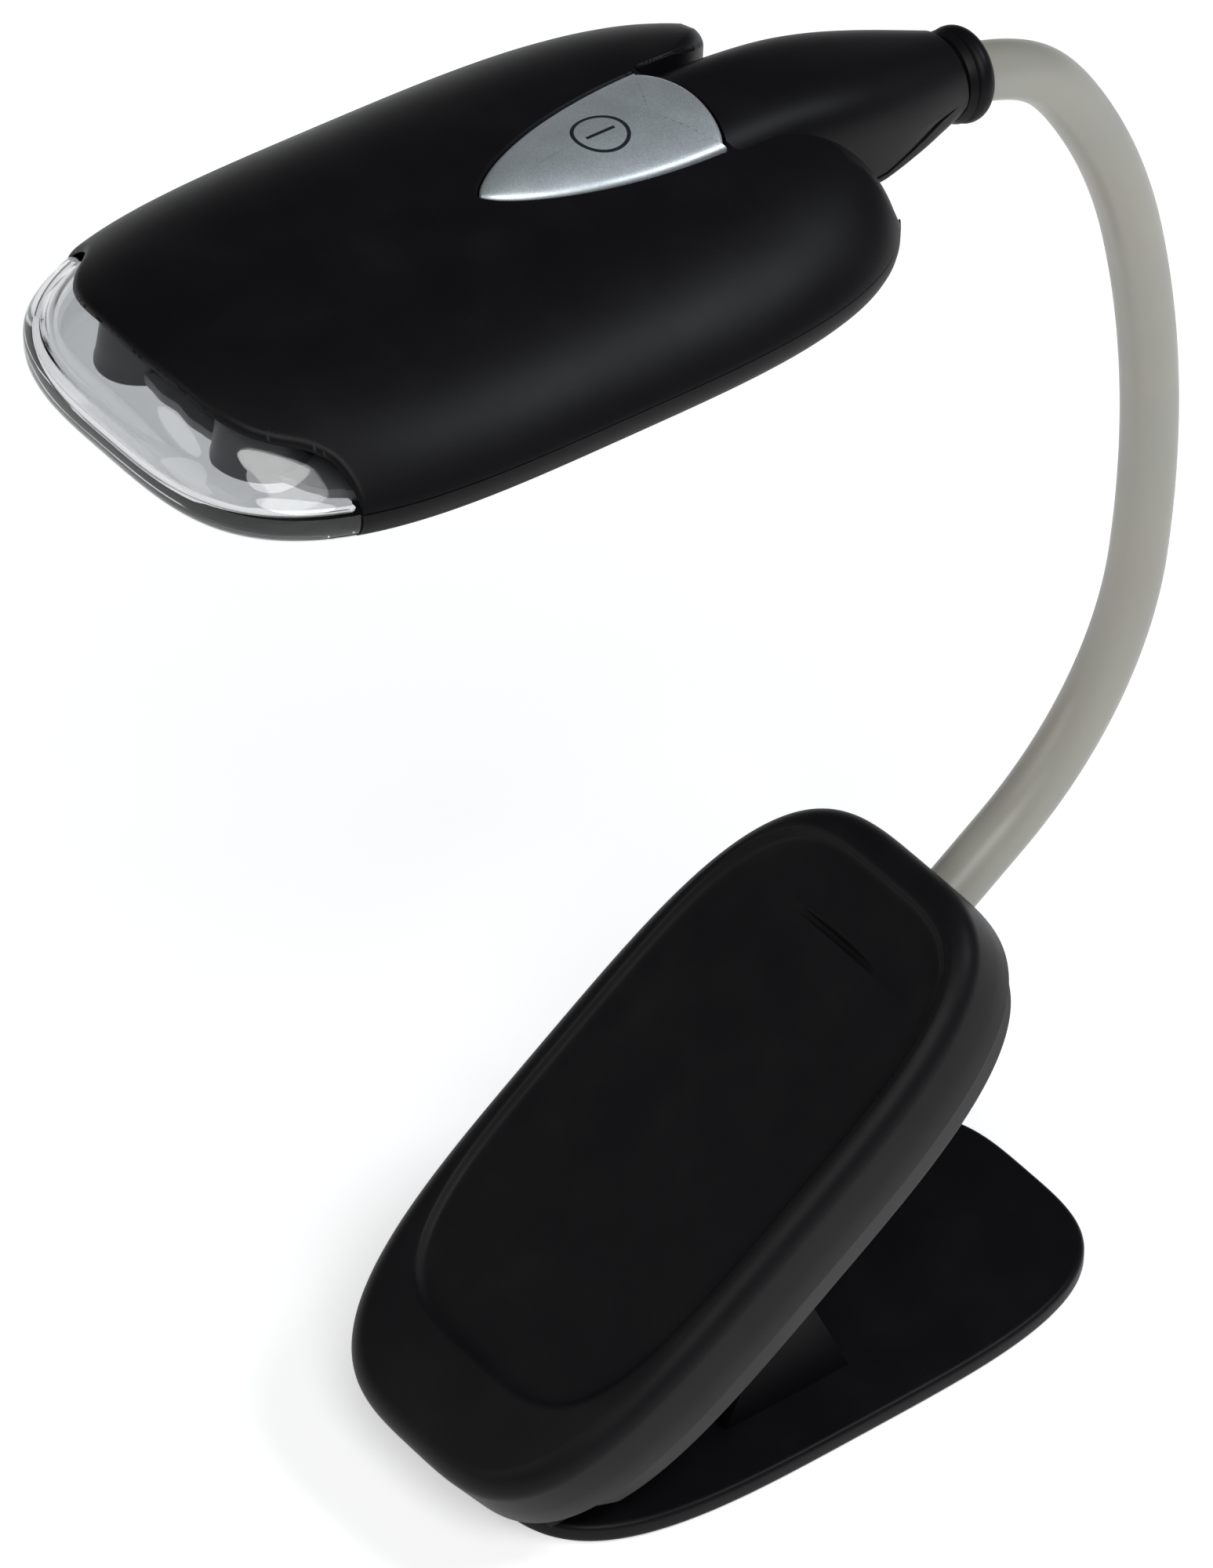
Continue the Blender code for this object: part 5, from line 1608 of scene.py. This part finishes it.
@dataclass
class Optics(HeadPart):
    """The two reflector bowls that open downward, their LEDs, and the grey carrier that joins them."""

    centre_x: float = -31.8
    across: float = 9.6
    radius: float = 5.1
    bottom: float = -1.9
    rise: float = 7.6
    wall: float = 0.5
    led_radius: float = 2.4
    led_base: float = 2.6
    led_flange: float = 3.3
    front: float = -35.3
    front_half: float = 4.6
    ripple: float = 0.12

    def build(self, shop: Workshop) -> None:
        """Makes both bowls and LEDs, and the carrier."""
        for name, side in (("left", -1), ("right", 1)):
            place = (self.centre_x, side * self.across, self.bottom)
            bowl = moved(turned(self.bowl(), 72, closed=True), place)
            self.fit(shop, f"reflector_bowl_{name}", bowl, BOWL_GREY, f"reflector_{name}")
            led = moved(turned(self.led(), 48), place)
            self.fit(shop, f"led_dome_{name}", led, LED_CLEAR, f"led_{name}")
        carrier = prism(self.carrier_outline(), self.bottom + 0.3, self.bottom + 1.3)
        self.fit(shop, "reflector_carrier", carrier, CARRIER_GREY, bevel=0.1)
        shop.dress_node("led_board", BOARD)
        shop.dress_node("head_lead", LEAD_SKIN)

    def dome(self, radius: float, rise: float) -> list[Pair]:
        """A steep-sided dome's profile from its rim to its crown."""
        turns = [math.radians(90 * step / 14) for step in range(14)]
        return [(radius * math.cos(t) ** 0.4, rise * math.sin(t)) for t in turns]

    def bowl(self) -> list[Pair]:
        """The bowl's outside from its rim to the crown, then back down its inside."""
        outside = self.dome(self.radius, self.rise)
        inside = self.dome(self.radius - self.wall, self.rise - self.wall)[::-1]
        rim = [(self.radius + 0.12, 0.0), (self.radius + 0.12, 0.3)]
        return rim + outside[1:] + inside

    def led(self) -> list[Pair]:
        """An LED dome hanging down from its flange."""
        turns = [math.radians(90 * step / 8) for step in range(8)]
        radius, base, flange = self.led_radius, self.led_base, self.led_flange
        dome = [(radius * math.cos(t), base - radius * math.sin(t)) for t in turns]
        return [(radius * 1.1, flange + 0.7), (radius * 1.1, flange), (radius, flange), *dome]

    def carrier_outline(self) -> list[Pair]:
        """The carrier's plan: a wavy front between the bowls and swept wings."""
        wave = [
            (self.front + self.ripple * math.cos(2 * math.pi * step / 12), self.front_half * (step / 12 - 1))
            for step in range(25)
        ]
        right = [(-33.4, 15.2), (-32.5, 17.6), (-31.4, 19.2), (-29.0, 20.6)]
        rear = [(-26.0, 21.5), (-25.5, 0.0), (-26.0, -21.5)]
        left = [(x, -y) for x, y in reversed(right)]
        return left + wave + right + rear


@dataclass
class Barrel(HeadPart):
    """The split barrel between the rear lobes, and the collar at its mouth."""

    neck: Gooseneck
    start: float = 29.1
    tip_radius: float = 4.9
    half_width: float = 8.4
    rise: float = 6.6
    low_line: tuple[Pair, ...] = ((29, -3.5), (40, -3.9), (47, -4.2), (52, -4.1), (62, -4.4))
    split_line: tuple[Pair, ...] = ((29, -2.6), (47.5, -2.7), (51.5, -1.7), (56, -0.6), (62, -0.4))
    taper_start: float = 0.35
    taper_power: float = 2.1
    skirt_lean: float = 0.06
    look_back: float = 12.0
    look_step: float = 0.35
    collar_radius: float = 5.15
    collar_width: float = 3.0
    collar_inward: float = 1.2
    bore_fit: float = 3.45
    snug: float = 0.05
    parting: float = 0.14
    points: int = 40
    rings: int = 30

    def local(self, place: Vector) -> Vector:
        """A model point in millimetres, in the head's frame."""
        return self.shape.placement.matrix().inverted() @ (place * MM)

    def collar_pose(self) -> tuple[Vector, float]:
        """The collar's middle in the head's frame, and the neck's lean there."""
        inside, _ = self.neck.bends[-1]
        mouth = self.neck.length - inside + self.collar_width / 2
        middle, heading = self.neck.point(mouth + self.collar_inward)
        return self.local(middle), math.pi - heading + self.shape.placement.pitch

    def stations(self) -> list[tuple[float, float, float, float]]:
        """Each station's place, centre height, half width, and how far it has tapered to the tip."""
        stops = [self.neck.length - self.look_back + self.look_step * step for step in range(100)]
        line = [self.local(self.neck.point(stop)[0]) for stop in stops]
        middle, lean = self.collar_pose()
        end = middle.x - self.collar_width / 2 - self.collar_radius * math.sin(lean / 2) - self.snug
        made = []
        for share in np.linspace(0.0, 1.0, self.rings):
            x = self.start + (end - self.start) * float(share)
            centre = min(line, key=lambda point: abs(point.x - x)).z
            taper = max(0.0, (float(share) - self.taper_start) / (1 - self.taper_start)) ** self.taper_power
            made.append((x, centre, self.half_width + (self.tip_radius - self.half_width) * taper, taper))
        places = [row[0] for row in made]
        smooth = np.polyval(np.polyfit(places, [row[1] for row in made], 3), places)
        return [(row[0], float(height), row[2], row[3]) for row, height in zip(made, smooth)]

    def half(self, side: int) -> Work:
        """The barrel above (side 1) or below (side -1) its parting line."""
        rings = []
        for index, (x, centre, width, taper) in enumerate(self.stations()):
            split = float(np.interp(x, *np.array(self.split_line).T)) + side * self.parting
            low = float(np.interp(x, *np.array(self.low_line).T))
            power = 2.6 - 0.5 * taper if side > 0 else 4.5 - 2.3 * taper
            base = centre if side > 0 else split
            reach = self.rise + (self.tip_radius - self.rise) * taper if side > 0 else split - low
            outer = []
            for step in range(self.points + 1):
                turn = math.pi * step / self.points
                y = math.copysign(abs(math.cos(turn)) ** (2 / power), math.cos(turn)) * width
                outer.append((y, base + side * reach * math.sin(turn) ** (2 / power)))
            if side > 0:
                skirt, level = width * (1 - self.skirt_lean * taper), (split + centre) / 2
                outer = [(skirt, split), (width, level), *outer, (-width, level), (-skirt, split)]
            inner = []
            for step in range(len(outer) - 1, -1, -1):
                turn = math.pi * step / (len(outer) - 1)
                z = centre + side * self.bore_fit * math.sin(turn)
                inner.append((self.bore_fit * math.cos(turn), max(z, split) if side > 0 else min(z, split)))
            ring = [(self.start_line(y) if index == 0 else x, y, z) for y, z in outer]
            rings.append(ring + [(self.start_line(0) if index == 0 else x, y, z) for y, z in inner])
        return loft(rings)

    def start_line(self, across: float) -> float:
        """Where the barrel's front face lies behind the button's rear curve."""
        share = min(abs(across) / self.shape.button_half, 1.0)
        rear = self.shape.button_tip + self.shape.button_length
        return rear + 2 * self.shape.gap + self.shape.button_bulge * (1 - share**2)

    def build(self, shop: Workshop) -> None:
        """Makes both halves and the collar, and finishes the screws."""
        self.fit(shop, "barrel_upper_half", self.half(1), SATIN_BLACK, "barrel_upper")
        self.fit(shop, "barrel_lower_half", self.half(-1), COVER_BLACK, "barrel_lower")
        middle, lean = self.collar_pose()
        half, wide, tip = self.collar_width / 2, self.collar_radius, self.tip_radius
        bore = self.neck.radius + 0.12
        profile = [(bore, -half - 0.4), (tip - 0.35, -half - 0.4)]
        profile += [(tip - 0.1, -half + 0.05), (tip + 0.05, -half + 0.4)]
        for step in range(11):
            turn = math.radians(-70 + 155 * step / 10)
            profile.append((wide - 0.9 + 0.9 * math.cos(turn), 0.25 + 1.1 * math.sin(turn)))
        profile += [(bore + 0.45, half + 0.05), (bore, half - 0.2)]
        collar = turned(profile, 72, closed=True)
        collar.transform(Matrix.Translation(middle) @ Matrix.Rotation(math.pi / 2 + lean / 2, 4, "Y"))
        self.fit(shop, "bulged_collar", collar, SATIN_BLACK, "collar_ring")
        for number in (1, 2):
            shop.dress_node(f"barrel_screw_{number}", STEEL)


@dataclass
class PowerButton(HeadPart):
    """The silver bullet button with its pressed mark, and the switch below."""

    top: float = 10.7
    skirt: float = 3.2
    arch: float = 1.35
    edge_drop: float = 0.35
    fade: float = 10.0
    spine: Pair = (12.0, 22.5)
    mark_x: float = 16.4
    mark_radius: float = 2.85
    mark_bar: float = 1.75
    mark_line: float = 0.4
    mark_lift: float = 0.02
    stem_x: float = 17.0
    stem_radius: float = 1.5
    stem_low: float = 4.5

    def half_at(self, x: float) -> float:
        """Half the button's width at a place along the head."""
        share = (x - self.shape.button_tip) / self.shape.button_length
        return self.shape.button_width(min(max(share, 0.0), 1.0))

    def build(self, shop: Workshop) -> None:
        """Makes the cap, its stem and its mark."""
        rings = [self.ring(0.0, self.top - self.skirt), self.ring(0.0, self.top - self.arch - self.edge_drop)]
        for share, drop in ((0.012, 0.2), (0.035, 0.09), (0.07, 0.02)):
            rings.append(self.crown_ring(share, drop))
        for share in (0.12, 0.2, 0.3, 0.4, 0.5, 0.6, 0.7, 0.8, 0.9, 0.96, 0.995):
            rings.append(self.crown_ring(share, 0.0))
        cap = loft(rings)
        ends = ((self.stem_radius, self.stem_low), (self.stem_radius, self.top - self.skirt + 0.5))
        cap = carve(cap, [moved(turned(ends, 32), (self.stem_x, 0, 0))], "UNION")
        self.fit(shop, "silver_power_button", cap, BUTTON_SILVER, "power_button", body=Body.BUTTON, sharp=50)
        self.fit(shop, "power_mark", self.mark(), MARK_INK, body=Body.BUTTON)
        shop.dress_node("power_switch", INNER_BLACK)

    def ring(self, share: float, height: float) -> Ring:
        """The outline drawn in toward the cap's middle line."""
        low, high = self.spine
        points = []
        for x, y in self.shape.button_outline():
            middle = min(max(x, low), high)
            points.append((x + (middle - x) * share, y * (1 - share), height))
        return points

    def crown_ring(self, share: float, drop: float) -> Ring:
        """The drawn-in outline laid on the cap's crown, lowered by an amount."""
        return [(x, y, self.surface(x, y) - drop) for x, y, _ in self.ring(share, 0.0)]

    def surface(self, x: float, y: float) -> float:
        """The cap's height: an arch across it that fades out toward the tip."""
        ahead = min(max((x - self.shape.button_tip) / self.fade, 0.0), 1.0)
        across = min((y / max(self.half_at(x), 0.2)) ** 2, 1.0)
        return self.top - self.arch + self.arch * (1 - (1 - ahead) ** 2) * (1 - across)

    def mark(self) -> Work:
        """A ring line with a bar inside it, laid on the crown."""
        half, bar = self.mark_line / 2, self.mark_bar
        turns = [2 * math.pi * index / 96 for index in range(97)]
        ring = [
            [(self.mark_x + reach * math.cos(t), reach * math.sin(t)) for t in turns]
            for reach in (self.mark_radius - half, self.mark_radius + half)
        ]
        places = [self.mark_x - bar + 2 * bar * step / 8 for step in range(9)]
        stem = [[(place, side) for place in places] for side in (-half, half)]
        work = bmesh.new()
        for stroke in (ring, stem):
            near, far = ([self.vert(work, x, y) for x, y in row] for row in stroke)
            for corners in zip(near, near[1:], far[1:], far):
                work.faces.new(corners)
        bmesh.ops.remove_doubles(work, verts=work.verts, dist=1e-4)
        bmesh.ops.recalc_face_normals(work, faces=work.faces)
        return work

    def vert(self, work: Work, x: float, y: float) -> bmesh.types.BMVert:
        """A point of the mark on the crown."""
        return work.verts.new((x, y, self.surface(x, y) + self.mark_lift))


# ---------------------------------------------------------------- the studio
@dataclass(frozen=True)
class Softbox:
    """One soft area light, aimed at a point."""

    name: str
    place: Point
    aim: Point
    size: float
    watts: float
    color: Color = (1.0, 1.0, 1.0)

    def build(self) -> None:
        """Adds the light."""
        data = bpy.data.lights.new(self.name, "AREA")
        data.shape = "DISK"
        data.size = self.size
        data.energy = self.watts
        data.color = self.color
        lamp = bpy.data.objects.new(self.name, data)
        lamp.location = self.place
        lamp.rotation_euler = (Vector(self.aim) - Vector(self.place)).to_track_quat("-Z", "Y").to_euler()
        bpy.context.scene.collection.objects.link(lamp)
        LOG.info("light %s", self.name)


@dataclass
class Studio:
    """The pale sweep, the lights and the camera."""

    floor_half: float = 3.0
    azimuth: float = -38.06
    elevation: float = 41.13
    roll: float = 0.59
    distance: float = 1.1346
    target: Point = (-0.0213, -0.0001, 0.0919)
    lens: float = 249.4
    sensor: float = 36.0
    world_color: Color = (0.8, 0.85, 0.9)
    world_strength: float = 0.1
    boxes: tuple[Softbox, ...] = (
        Softbox("key_right", (1.05, -0.75, 1.6), (0.0, 0.0, 0.1), 0.6, 13.0, (0.88, 0.94, 1.0)),
        Softbox("overhead_front", (-0.9, -1.5, 2.3), (0.0, 0.1, 0.0), 1.6, 42.0),
        Softbox("fill_left", (-2.2, 0.6, 1.3), (0.0, 0.0, 0.05), 1.4, 10.0, (1.0, 0.98, 0.96)),
    )

    def build(self, shop: Workshop) -> None:
        """Makes the whole studio."""
        work = bmesh.new()
        bmesh.ops.create_grid(work, x_segments=1, y_segments=1, size=self.floor_half)
        shop.piece("pale_sweep", work, None, SWEEP, None)
        for box in self.boxes:
            box.build()
        world = bpy.data.worlds.new("soft_surround")
        world.use_nodes = True
        back = world.node_tree.nodes["Background"]
        back.inputs["Color"].default_value = (*self.world_color, 1.0)
        back.inputs["Strength"].default_value = self.world_strength
        bpy.context.scene.world = world
        bpy.context.scene.view_settings.view_transform = "Standard"
        self.build_camera()

    def build_camera(self) -> None:
        """Adds the camera and makes it the scene's own."""
        turn, lift = math.radians(self.azimuth), math.radians(self.elevation)
        away = Vector((math.sin(turn) * math.cos(lift), -math.cos(turn) * math.cos(lift), math.sin(lift)))
        data = bpy.data.cameras.new("portrait_camera")
        data.sensor_fit = "VERTICAL"
        data.sensor_height = self.sensor
        data.lens = self.lens
        data.clip_start, data.clip_end = 0.05, 20.0
        camera = bpy.data.objects.new("portrait_camera", data)
        facing = Matrix.Rotation(turn, 4, "Z") @ Matrix.Rotation(math.pi / 2 - lift, 4, "X")
        spin = Matrix.Rotation(math.radians(self.roll), 4, "Z")
        camera.matrix_world = Matrix.Translation(Vector(self.target) + away * self.distance) @ facing @ spin
        bpy.context.scene.collection.objects.link(camera)
        bpy.context.scene.camera = camera


def main() -> None:
    """Builds the lamp's looks piece by piece."""
    logging.basicConfig(level=logging.INFO, format="%(message)s")
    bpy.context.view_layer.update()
    shop = Workshop()
    hinge = Hinge.from_model()
    ClipPlate(hinge).build(shop)
    HingeHardware(hinge).build(shop)
    JawPads(hinge).build(shop)
    BatteryHousing(hinge).build(shop)
    neck = Gooseneck(hinge)
    neck.build(shop)
    shape = HeadShape.from_model()
    TopShell(shape).build(shop)
    HeadUnderside(shape).build(shop)
    Optics(shape).build(shop)
    Barrel(shape, neck).build(shop)
    PowerButton(shape).build(shop)
    Studio().build(shop)


if __name__ == "__main__":
    main()
